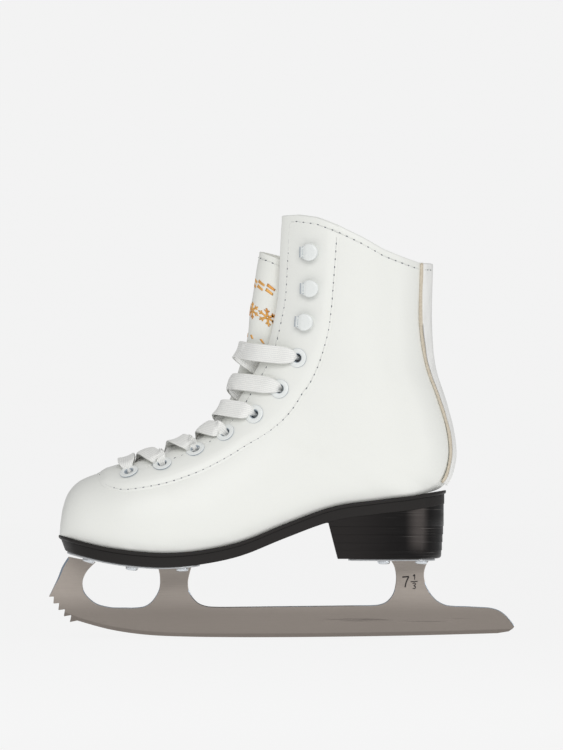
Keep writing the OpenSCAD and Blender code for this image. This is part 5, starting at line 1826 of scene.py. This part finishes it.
# ---------------------------------------------------------------- eyelets and hooks
@dataclass
class Fasteners:
    """Enamelled eyelets and hooks."""

    hole: float = 4.2
    flange: float = 9.8
    wall: float = 0.5
    hook_length: float = 10.2
    hook_width: float = 8.8
    slot_gap: float = 1.9

    def eyelet_part(self) -> bpy.types.Object:
        """An eyelet: domed flange, barrel and clinched washer."""
        bore, barrel, rim = self.hole / 2, self.hole / 2 + self.wall, self.flange / 2
        end = -LINING_DEPTH - STACK_TOP - 0.35
        profile = [
            (bore, end - 0.45), (bore + 0.2, end - 0.6), (barrel + 1.0, end - 0.6), (barrel + 1.1, end - 0.5),
            (barrel + 1.1, end - 0.12), (barrel, end - 0.1), (barrel, -0.02), (rim - 0.1, 0.0), (rim, 0.1),
            (rim, 0.3), (rim - 0.1, 0.42), (rim - 0.45, 0.5), (rim - 1.2, 0.56), (barrel + 0.6, 0.6),
            (barrel + 0.15, 0.56), (bore + 0.22, 0.38), (bore, 0.05),
        ]  # fmt: skip
        part = turned(profile, 40).build("eyelet_part", sharp=70)

        def shade(q: Array) -> Array:
            """Painted shade: the shadow line at the rim's foot and the dark in the mouth of the hole."""
            far = np.linalg.norm(q[:, :2], axis=1)
            return np.where(far > rim - 0.15, 1.0 * (q[:, 2] < 0.35), 0.0) + (far < bore + 0.3) * 0.8

        return mark_painted_shade(part, shade)

    def hook_part(self) -> bpy.types.Object:
        """A hook: base plate, bend towards the throat and domed head, with X towards the throat."""
        draft = Draft()
        half_l, half_w = self.hook_length / 2, self.hook_width / 2
        a = around(48)
        cos, sin = np.cos(a), np.sin(a)
        blunt = np.where(cos > 0, 3.0, 2.15)
        size = (np.abs(cos) ** blunt + np.abs(sin) ** blunt) ** (-1 / blunt)
        nose = ease((cos + 0.1) / 1.05)
        x = size * cos * half_l
        y = size * sin * half_w * (1 - 0.36 * nose)
        notch = np.exp(-((sin / 0.34) ** 2)) * nose * 0.8
        x = x - notch
        rim = np.stack([x, y], -1)
        base_t, head = 0.8, 0.8 + self.slot_gap

        def ring(scale: float, z: float) -> Array:
            """The head's outline, scaled, at a height."""
            sag = 1.7 * ease((rim[:, :1] * scale - 0.8) / 4.4)
            return np.concatenate([rim * scale, z - sag * (z > head + 0.3)], axis=1)

        dome = [ring(s, head + h) for s, h in ((0.9, 0.0), (0.98, 0.12), (1.0, 0.42), (0.97, 0.72), (0.9, 0.9),
                                               (0.75, 1.02), (0.5, 1.09), (0.25, 1.1), (0.02, 1.1))]  # fmt: skip
        draft.rings(np.stack([ring(0.02, head), ring(0.5, head), *dome]))
        b = around(40)
        disc = np.stack([np.cos(b) * half_w * 0.93 - 0.4, np.sin(b) * half_w * 0.93], -1)

        def plate(scale: float, z: float) -> Array:
            """The base plate's outline, scaled, at a height."""
            return np.concatenate([disc * scale, np.full((40, 1), z)], axis=1)

        edge = ((0.4, 0.0), (0.97, 0.0), (1.0, 0.15), (1.0, 0.6), (0.95, base_t), (0.4, base_t))
        draft.rings(np.stack([plate(scale, z) for scale, z in edge]))
        bend = through([(2.2, 0.45), (3.6, 0.62), (4.5, 1.3), (4.62, 2.0), (4.3, 2.75), (3.2, 3.2)], 4)
        slab = []
        for (px, pz), way in zip(bend, unit(np.gradient(bend, axis=0))):
            side = np.array([-way[1], way[0]])
            corners = ((0.42, -2.5), (0.42, 2.5), (-0.42, 2.7), (-0.42, -2.7))
            slab.append([(px + side[0] * o, w, pz + side[1] * o) for o, w in corners])
        draft.rings(np.array(slab))
        part = draft.build("hook_part", sharp=45)

        def shade(q: Array) -> Array:
            """Painted shade on the bend at the throat's end, which faces away from the light, and in the slot under the
            head.
            """
            return 0.75 * ease((q[:, 0] - 3.1) / 1.5) + 0.8 * ((q[:, 2] > 0.9) & (q[:, 2] < 2.72))

        return mark_painted_shade(part, shade)

    def build(self) -> None:
        """Sets the eyelets and hooks on both facings."""
        for side, word in ((OUTER, "left"), (INNER, "right")):
            for spots, kind, part in (
                (EYELETS, "eyelets", self.eyelet_part), (HOOKS, "hooks", self.hook_part)
            ):  # fmt: skip
                seats = [Seat.on(r, p, side) for r, p in spots]
                maker = Repeater(f"{kind}_{word}_enamel", WHITE_ENAMEL, 0.03 if kind == "hooks" else 3.0)
                piece = maker.make(part(), np.array([s.at for s in seats]), np.array([s.matrix() for s in seats]))
                settle(piece, Body.BOOT, "painted_white", f"{kind}_{word}")


# ---------------------------------------------------------------- sole and heel
@dataclass
class Sole:
    """Welt, outsole and stacked heel."""

    heel_back: float = 83.8
    lip: float = 3.4
    glue: float = 0.2
    sole_t: float = 7.0
    welt_t: float = 1.8
    welt_width: float = 7.0
    lift_t: float = 4.1
    heel_bottom: float = 40.2
    breast_top: float = 23.5
    breast_bottom: float = 28.5
    edge_in: float = 0.9

    def tread_z(self, x: Any) -> Array:
        """The height of the boot's tread at x."""
        r = np.concatenate([np.linspace(0.0, 1.0, 4)[1:], np.linspace(1.0, 13.0, 160)[1:]])
        q = LAST.section(r)
        xs = np.concatenate([[-113.6], q[:, 0], [79.0, 85.8]])
        zs = np.concatenate([[52.3], q[:, 1], [74.2, 75.6]])
        order = np.argsort(xs)
        return np.interp(x, xs[order], zs[order])

    def plan(self, inset: float, per: int = 5) -> Array:
        """The sole's outline seen from below, drawn in by inset, from the toe round the inner side."""

        def one(side: int) -> list[list[float]]:
            """One side from the toe to the heel."""
            pts = []
            for r in (0.25, 0.5, 1, 1.6, 2.3, 3, 4, 5, 6, 7, 8, 9, 10, 11, 12):
                q = LAST.section(r)
                w = float(ease(np.array(r / 3)))
                edge = q[5] * float(LAST.arch(np.array(r), side)) + self.lip * w
                pts.append([q[0] - 0.6 * (1 - w), q[9] + side * edge])
            return pts + [[x, side * y] for x, y in ((70, 24.6), (75.5, 21.4), (80, 15.6), (82.8, 9))]

        ring = [[-113.6, LAST.section(0)[9]], *one(INNER), [self.heel_back, 0.0], *one(OUTER)[::-1]]
        line = through(ring, per, closed=True)
        mid, long, wide = (-113.6 + self.heel_back) / 2, (self.heel_back + 113.6) / 2, 32.6 + self.lip
        line[:, 0] = mid + (line[:, 0] - mid) * (1 - inset / long)
        line[:, 1] *= 1 - inset / wide
        return line

    def slab(
        self, name: str, finish: Finish, outlines: list[Array], heights: list[Callable[[Array], Array]]
    ) -> bpy.types.Object:
        """A piece between stacked outlines, closed above and below by strips to its middle line.

        Args:
            name: the piece's name.
            finish: its finish.
            outlines: its outline at each level, bottom first.
            heights: the height at x for each level.

        Returns:
            The piece.
        """
        rings = []
        for share in (0.0, 0.233, 0.471, 0.742, 0.931):
            rings.append((outlines[0] * [1, share], heights[0]))
        rings += list(zip(outlines, heights))
        for share in (0.931, 0.742, 0.471, 0.233, 0.0):
            rings.append((outlines[-1] * [1, share], heights[-1]))
        grid = np.stack([np.column_stack([o, h(o[:, 0])]) for o, h in rings])
        draft = Draft()
        draft.rings(grid, caps=False)
        return draft.build(name, finish, merge=0.002, sharp=32)

    def outsole(self) -> bpy.types.Object:
        """The outsole, with rounded edges and a toe that slants in."""
        top, low = self.glue + self.welt_t, self.glue + self.sole_t
        outlines, heights = [], []
        for share, inset in ((1.0, 0.45), (0.97, 0.14), (0.93, 0.0), (0.88, 0.0), (0.08, 0.0), (0.03, 0.0), (0.0, 0.1)):
            line = self.plan(self.edge_in + inset)
            slant = np.clip((-60 - line[:, 0]) / 53, 0, 1) ** 3
            line[:, 0] += slant * (0.4 + 2.2 * share)
            outlines.append(line)
            depth = top + (low - top) * share
            heights.append(lambda x, d=depth: self.tread_z(x) - d)
        return self.slab("outsole_edge_dressed", SOLE_RUBBER, outlines, heights)

    def welt(self) -> bpy.types.Object:
        """The welt's ring, with a rounded lip."""
        t, b = self.glue + 0.02, self.glue + self.welt_t
        loop = []
        for inset, depth in ((0.35, t), (0.08, t + 0.25), (0.0, t + 0.7), (0.12, b - 0.35), (0.5, b - 0.02),
                             (self.welt_width, b - 0.02), (self.welt_width, t)):  # fmt: skip
            line = self.plan(inset)
            loop.append(np.column_stack([line, self.tread_z(line[:, 0]) - depth]))
        return tube("welt_lip_dressed", np.stack(loop, axis=1), WELT_BLACK, closed=True, sharp=50)

    def heel_line(self, inset: float, z: float, fillet: float = 0.0) -> Array:
        """The heel's outline at height z, closed by the slanted breast."""
        lean = (self.breast_bottom - self.breast_top) / 19.3
        x0 = self.breast_bottom - (z - self.heel_bottom) * lean - fillet
        line = self.plan(inset, 12)
        turn = int(np.argmax(line[:, 0]))
        halves = (line[: turn + 1], line[turn:][::-1])
        keep = halves[0][halves[0][:, 0] > x0]
        run = np.vstack([[x0, np.interp(x0, *halves[0].T)], keep])
        far = lengths(run)
        xs = np.interp(np.linspace(0, far[-1], 90), far, run[:, 0])
        parts = [np.stack([xs, np.interp(xs, *half.T)], -1) for half in halves]
        y0, y1 = parts[0][0, 1], parts[1][0, 1]
        s = np.linspace(0, 1, 25)[1:-1]
        front = np.stack([np.full(23, x0), y1 + (y0 - y1) * s], -1)
        return np.vstack([parts[0], parts[1][::-1][1:], front])

    def lift(self, name: str, low: float, high: float, inset: float, foot: bool = False) -> bpy.types.Object:
        """One lift of the heel between two heights."""
        outlines, heights = [], []
        levels = [(0.05, low), (0.0, low + 0.08), (0.0, high - 0.08), (0.05, high)]
        if foot:
            levels = [(1.1, low), (0.55, low + 0.25), (0.2, low + 0.8), (0.05, low + 1.6), *levels[2:]]
        for extra, z in levels:
            line = self.heel_line(inset, z)
            pulled = self.heel_line(inset + extra * 1.6, z)
            rear = np.clip((line[:, 0] - 45) / 35, 0.15 if foot else 1.0, 1)[:, None]
            outlines.append(line * (1 - rear) + pulled * rear)
            heights.append(lambda x, z=z: np.full(len(x), z))
        return self.slab(name, HEEL_LACQUER, outlines, heights)

    def wedge(self, low: float) -> bpy.types.Object:
        """The wedge between the lifts and the outsole."""
        depth = self.glue + self.sole_t + 0.02
        under = lambda x: self.tread_z(x) - depth
        outlines, heights = [], []
        levels = ((0.0, 0.16, 0), (0.03, 0, 0), (0.5, 0, 0), (0.8, 0, 0.1), (0.92, 0, 0.5), (1.0, 0, 1.2))
        for share, inset, fillet in levels:
            z = low + (58.5 - low) * share
            outlines.append(self.heel_line(1.2 + inset, z, fillet))
            heights.append(lambda x, s=share: low + (under(x) - low) * s)
        return self.slab("heel_wedge_dressed", HEEL_LACQUER, outlines, heights)

    def build(self) -> None:
        """Makes the sole and heel and seats them."""
        settle(self.welt(), Body.BOOT, "sole_black", "welt")
        settle(self.outsole(), Body.BOOT, "sole_black", "outsole")
        tops = [self.heel_bottom + k * self.lift_t for k in range(1, 5)]
        foot = self.lift("heel_top_piece_dressed", self.heel_bottom, tops[0], 2.4, True)
        settle(foot, Body.BOOT, "rubber", "heel_top_piece")
        for k in range(3):
            piece = self.lift(f"heel_lift_{k + 1}_dressed", tops[k], tops[k + 1], 1.2 + 0.3 * (3 - k))
            settle(piece, Body.BOOT, "sole_black", f"heel_lift_{k + 1}")
        settle(self.wedge(tops[3]), Body.BOOT, "sole_black", "heel_wedge")


# ---------------------------------------------------------------- blade, plates and screws
@dataclass
class Runner:
    """The blade with its two plates and their screws."""

    sole: Sole
    thick: float = 3.6
    rocker_x: float = -19.0
    rocker_r: float = 4000.0
    plate_t: float = 1.2
    plate_z: float = 39.0
    head_d: float = 6.2
    head_h: float = 1.7

    def sole_face(self, x: Any) -> Array:
        """The height of the sole plate's underside at x."""
        return self.sole.tread_z(x) - self.sole.glue - self.sole.sole_t - self.plate_t

    def outline(self) -> Array:
        """The blade's side view, from the front post round to it again."""
        t = np.linspace(0, 1, 5)
        tips = np.stack([-118.4 + 8.6 * t + 2.1 * t**2, 20.7 - 14.2 * t + 1.25 * t**2], -1)
        picks: list[Array] = []
        for k in range(4):
            valley = tips[k] + [2.6 + 0.4 * k, 0.16 * k]
            picks += [tips[k] + [0.0, 0.12], tips[k] + [0.25, -0.08], valley + [-0.25, 0.0], valley + [-0.08, -0.25]]
        rear = np.linspace(-19, 110, 26)[1:]
        runs = [
            through([(-108.5, 41), (-111.6, 36), (-114.2, 29.5), (-118.3, 20.95)], 10),
            np.array(picks + [tips[4]]),
            through([(-104, 8.5), (-87, 3.9), (-68, 1.2), (-45, 0.25), (-19, 0)], 10),
            np.stack([rear, (rear - self.rocker_x) ** 2 / (2 * self.rocker_r)], -1),
            through([(115.6, 3), (118.4, 5.4), (116.3, 8.8), (113.7, 11.6), (110.4, 13.8),
                     (106.2, 15), (101, 15.4)], 8),
            through([(93, 15.8), (87.6, 15.95), (83, 16.7), (78.4, 19.4), (74.3, 24.8),
                     (72.5, 31), (73.3, 36), (75, 39.0)], 10),
            through([(55.8, 39.0), (57.6, 35.4), (58.3, 29.5), (57, 22.8), (54, 18.6),
                     (50.2, 16.8), (45.4, 16.3), (40, 16.25)], 10),
            through([(-28, 15.45), (-33.4, 15.5), (-38.2, 15.9), (-42.8, 17.8), (-46.6, 22.6),
                     (-47.6, 28.5), (-45.6, 37)], 10),
            through([(-63.2, 37), (-61.9, 31), (-62.3, 24.6), (-65.6, 18.8), (-69.6, 15.9),
                     (-74.6, 15.1), (-79, 15.1)], 10),
            through([(-82, 15.1), (-87.6, 15.4), (-94.6, 17.4), (-100, 22.4), (-101.3, 28),
                     (-99.2, 33.4), (-94.6, 38.2)], 10),
        ]
        line = np.vstack(runs)
        roof = np.where(line[:, 0] < 0, self.sole_face(line[:, 0]), self.plate_z)
        line[:, 1] = np.minimum(line[:, 1], roof)
        keep = np.concatenate([[True], np.linalg.norm(np.diff(line, axis=0), axis=1) > 0.02])
        return line[keep]

    def blade(self) -> bpy.types.Object:
        """The blade, with a fine bevel all round and a broad one down its front edge."""
        line = self.outline()
        nxt, prv = np.roll(line, -1, 0), np.roll(line, 1, 0)
        e1, e2 = unit(line - prv), unit(nxt - line)
        area = np.sum(line[:, 0] * nxt[:, 1] - nxt[:, 0] * line[:, 1])
        turn = 1 if area > 0 else -1
        n1 = np.stack([-e1[:, 1], e1[:, 0]], -1) * turn
        n2 = np.stack([-e2[:, 1], e2[:, 0]], -1) * turn
        mitre = n1 + n2
        mitre /= np.maximum(np.sum(mitre * n1, -1, keepdims=True), 0.45)
        front = (line[:, 0] < -106) & (line[:, 1] > 22)
        width = np.where(front, 0.25 + 0.65 * ease((line[:, 1] - 24) / 10), 0.32)[:, None]
        picks = (line[:, 0] < -104) & (line[:, 1] <= 22)
        width = np.where(picks[:, None], 0.12, width)
        x, z = line.T
        hidden = ((x > -100) & (x < 0) & (z > 33.8)) | ((x > 0) & (z > 37.8)) | (z > 40.5)
        width = np.where(hidden[:, None], 0.0, width)
        flat = line + mitre * width
        half, n = self.thick / 2, len(line)
        draft = Draft()
        depth = np.where(front, 0.75, 0.2)

        def ring(q: Array, y: Any) -> Array:
            """The outline at a distance from the blade's middle plane."""
            return np.stack([q[:, 0], np.broadcast_to(y, (n,)), q[:, 1]], -1)

        rings = np.stack([ring(flat, -half), ring(line, -half + depth), ring(line, half - depth), ring(flat, half)])
        draft.rings(rings)
        shiny = front | ((n2[:, 1] < -0.25) & ~hidden)
        bevels = {i for i in range(n) if shiny[i] and shiny[(i + 1) % n]}
        for i in range(3 * n):
            if i % n in bevels and i // n != 1:
                draft.slots[i] = 1
        return draft.build("blade_ground", BLADE_STEEL, BEVEL_STEEL, merge=1e-4, sharp=25)

    def mark(self) -> bpy.types.Object:
        """The stamped size, a whole number and a third, in inches."""
        draft = Draft()
        y = -self.thick / 2

        def stroke(points: Sequence[Sequence[float]], width: float = 0.72) -> None:
            """A pen stroke on the blade's outer face."""
            q = through(points, 4) if len(points) > 2 else np.asarray(points, float)
            way = unit(np.gradient(q, axis=0))
            side = np.stack([-way[:, 1], way[:, 0]], -1) * width / 2
            loop = [
                np.stack([p[:, 0], np.full(len(q), y + d), p[:, 1]], -1)
                for p, d in ((q - side, 0.02), (q - side, -0.035), (q + side, -0.035), (q + side, 0.02))
            ]
            draft.rings(np.stack(loop, axis=1))

        stroke([(61.5, 30.6), (64.8, 30.9)])
        stroke([(64.8, 30.9), (63.5, 28.1), (62.9, 25.4)])
        stroke([(65.7, 28.2), (69.3, 28.5)], 0.52)
        stroke([(67.0, 31.1), (67.8, 31.8), (67.7, 29.3)], 0.55)
        stroke([(66.7, 27.3), (67.7, 27.6), (68.2, 26.9), (67.4, 26.3), (68.2, 25.7), (67.8, 24.8), (66.8, 24.9)], 0.52)
        return draft.build("blade_size_mark", MARK_INK)

    def plate(
        self, name: str, halves: Sequence[tuple[float, float]], bottom: Callable[[Array], Array]
    ) -> bpy.types.Object:
        """A plate with rounded edges.

        Args:
            name: the piece's name.
            halves: its half widths along x.
            bottom: the height of its underside at x.

        Returns:
            The plate.
        """
        side = through(halves, 8)
        ring = np.vstack([side, (side * [1, -1])[::-1]])
        mid = (ring[:, 0].max() + ring[:, 0].min()) / 2
        outlines, heights = [], []
        for inset, lift in ((0.3, 0.0), (0.05, 0.12), (0.0, 0.35), (0.0, 0.9), (0.1, 1.12), (0.3, self.plate_t)):
            kx, ky = 1 - inset / 30, 1 - inset / 18
            outlines.append(np.column_stack([mid + (ring[:, 0] - mid) * kx, ring[:, 1] * ky]))
            heights.append(lambda x, d=lift: bottom(x) + d)
        return self.sole.slab(name, PLATE_STEEL, outlines, heights)

    def screw_part(self, shank: float) -> bpy.types.Object:
        """A pan-head screw with a cross recess, its head below Z = 0 and its thread above."""
        rim = self.head_d / 2
        h = self.head_h
        profile = [(0.0, -h + 0.55), (0.5, -h + 0.5), (1.1, -h), (rim - 1.0, -h + 0.02), (rim - 0.35, -h + 0.22),
                   (rim - 0.05, -h + 0.6),
                   (rim, -h + 1.0), (rim, -0.06), (1.85, -0.05), (1.85, 0.6)]  # fmt: skip
        for k in range(int((shank - 2) / 0.9)):
            profile += [(1.85, 0.6 + 0.9 * k + 0.25), (1.45, 0.6 + 0.9 * k + 0.6)]
        profile += [(1.2, shank - 0.8), (0.0, shank)]
        q = np.array(profile)
        steps = 32
        a = around(steps)
        radius = np.repeat(q[:, :1].T, steps, 0)
        cross = 0.5 + 0.5 * np.cos(4 * a)
        radius[:, 2] = 0.75 + 1.15 * cross**2
        rings = np.stack([radius * np.cos(a)[:, None], radius * np.sin(a)[:, None], np.tile(q[:, 1], (steps, 1))], -1)
        draft = Draft()
        draft.rings(np.swapaxes(rings, 0, 1), caps=False)
        return draft.build("screw_part", sharp=40)

    def screws(self, name: str, places: Sequence[tuple[float, float]], shank: float, flat: bool) -> bpy.types.Object:
        """A plate's screws, each turned its own way."""
        seats, turns = [], []
        for x, y in places:
            for side in (-1, 1):
                z = self.plate_z if flat else float(self.sole_face(x))
                slope = 0.0 if flat else math.atan(float(self.sole_face(x + 3) - self.sole_face(x - 3)) / 6)
                seats.append([x, side * y, z])
                turns.append(np.array(Euler((0, -slope, 0)).to_matrix()))
        return Repeater(name, ZINC, 1.4, 0.0, 9).make(self.screw_part(shank), np.array(seats), np.array(turns))

    def build(self) -> None:
        """Makes the blade, plates and screws and seats them."""
        settle(self.blade(), Body.BOOT, "blade_steel", "blade")
        settle(self.mark(), Body.BOOT)
        front = self.plate(
            "sole_plate_formed",
            ((-109, 5), (-107, 8.5), (-102, 12), (-94, 16), (-84, 19), (-74, 20), (-64, 18.5),
             (-54, 15), (-46, 11), (-43, 8.5), (-41.6, 5)),
            self.sole_face,
        )  # fmt: skip
        settle(front, Body.BOOT, "steel", "sole_plate")
        rear = self.plate(
            "heel_plate_formed",
            ((34, 6), (35.5, 9.5), (40, 13), (48, 16.5), (58, 18.5), (68, 17.5), (74, 14), (77, 9.5), (78, 6)),
            lambda x: np.full(len(x), self.plate_z),
        )
        settle(rear, Body.BOOT, "steel", "heel_plate")
        sole = self.screws("sole_screws_zinc", ((-98, 9.5), (-76, 14.5), (-50.5, 9)), self.plate_t + 6.1, False)
        settle(sole, Body.BOOT, "zinc", "sole_plate_screws")
        heel = self.screws("heel_screws_zinc", ((52, 12.5), (71, 10.5)), self.plate_t + 11.7, True)
        settle(heel, Body.BOOT, "zinc", "heel_plate_screws")


# ---------------------------------------------------------------- what stays from the frame
def dress_frame() -> None:
    """Gives the frame's own nodes that stay their finishes."""
    kept = {
        "heel_counter": FIBREBOARD, "toe_puff": FIBREBOARD, "insole_board": FIBREBOARD, "sole_filler": FIBREBOARD,
        "shank": SHANK_STEEL, "heel_nails": SHANK_STEEL, "hook_rivets_left": ZINC, "hook_rivets_right": ZINC,
    }  # fmt: skip
    for node, finish in kept.items():
        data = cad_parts[node].data
        data.materials.clear()
        data.materials.append(finish.material())
        LOG.info("%s keeps its shape and is %s", node, finish.name)


# ---------------------------------------------------------------- the studio
@dataclass
class Studio:
    """Floor, light and camera."""

    distance: float = 5.0
    aim_z: float = 0.1335
    height: float = 0.112
    lens: float = 471.3
    pale: float = 0.909
    ambient: float = 0.42
    half_width: float = 0.5

    def camera(self) -> None:
        """The camera, a little above the skate's middle and square to its side."""
        data = bpy.data.cameras.new("camera")
        data.lens, data.sensor_width, data.clip_end = self.lens, 36.0, 50.0
        made = bpy.data.objects.new("camera", data)
        pitch = math.atan((self.height - self.aim_z) / self.distance)
        made.location = (0.0, -self.distance, self.height)
        made.rotation_euler = (math.pi / 2 - pitch, 0, 0)
        bpy.context.scene.collection.objects.link(made)
        bpy.context.scene.camera = made

    def sweep(self) -> None:
        """The pale floor, which curves up into the wall behind and glows evenly."""
        bend = [(5.3 + 0.5 * math.sin(a), 0.5 - 0.5 * math.cos(a)) for a in np.linspace(0, math.pi / 2, 12)]
        line = [(-2.2, 0.0), *bend, (5.8, 3.2)]
        mesh = bpy.data.meshes.new("studio_sweep")
        points = [(x, y, z) for x in (-self.half_width, self.half_width) for y, z in line]
        n = len(line)
        mesh.from_pydata(points, [], [(i, i + n, i + n + 1, i + 1) for i in range(n - 1)])
        made = bpy.data.objects.new("studio_sweep", mesh)
        bpy.context.scene.collection.objects.link(made)
        mesh.materials.append(Glow("pale_sweep", (0.04, 0.04, 0.04, 1), 1.0, self.pale - 0.035).material())

    def lamp(self, name: str, at: tuple[float, float, float], size: tuple[float, float], power: float) -> None:
        """A soft box that faces the skate."""
        data = bpy.data.lights.new(name, "AREA")
        data.shape, data.size, data.size_y, data.energy = "RECTANGLE", *size, power
        made = bpy.data.objects.new(name, data)
        made.location = at
        made.rotation_euler = (Vector((0, 0, 0.1)) - Vector(at)).to_track_quat("-Z", "Y").to_euler()
        bpy.context.scene.collection.objects.link(made)

    def build(self) -> None:
        """Sets the room up."""
        scene = bpy.context.scene
        scene.view_settings.view_transform = "Standard"
        world = bpy.data.worlds.new("studio")
        world.use_nodes = True
        sky = world.node_tree.nodes["Background"].inputs
        sky["Color"].default_value = (self.ambient, self.ambient, self.ambient * 1.01, 1)
        scene.world = world
        self.sweep()
        self.lamp("key", at=(0.0, -1.6, 1.0), size=(1.6, 1.0), power=13.5)
        self.lamp("rear", at=(1.2, -0.75, 0.3), size=(0.12, 0.7), power=1.6)
        self.camera()


def main() -> None:
    """Builds the whole skate in order."""
    logging.basicConfig(level=logging.INFO, format="%(message)s")
    Studio().build()
    Lace().build()
    Boot().build()
    Tongue().build()
    Fasteners().build()
    sole = Sole()
    sole.build()
    Runner(sole).build()
    dress_frame()


if __name__ == "__main__":
    main()
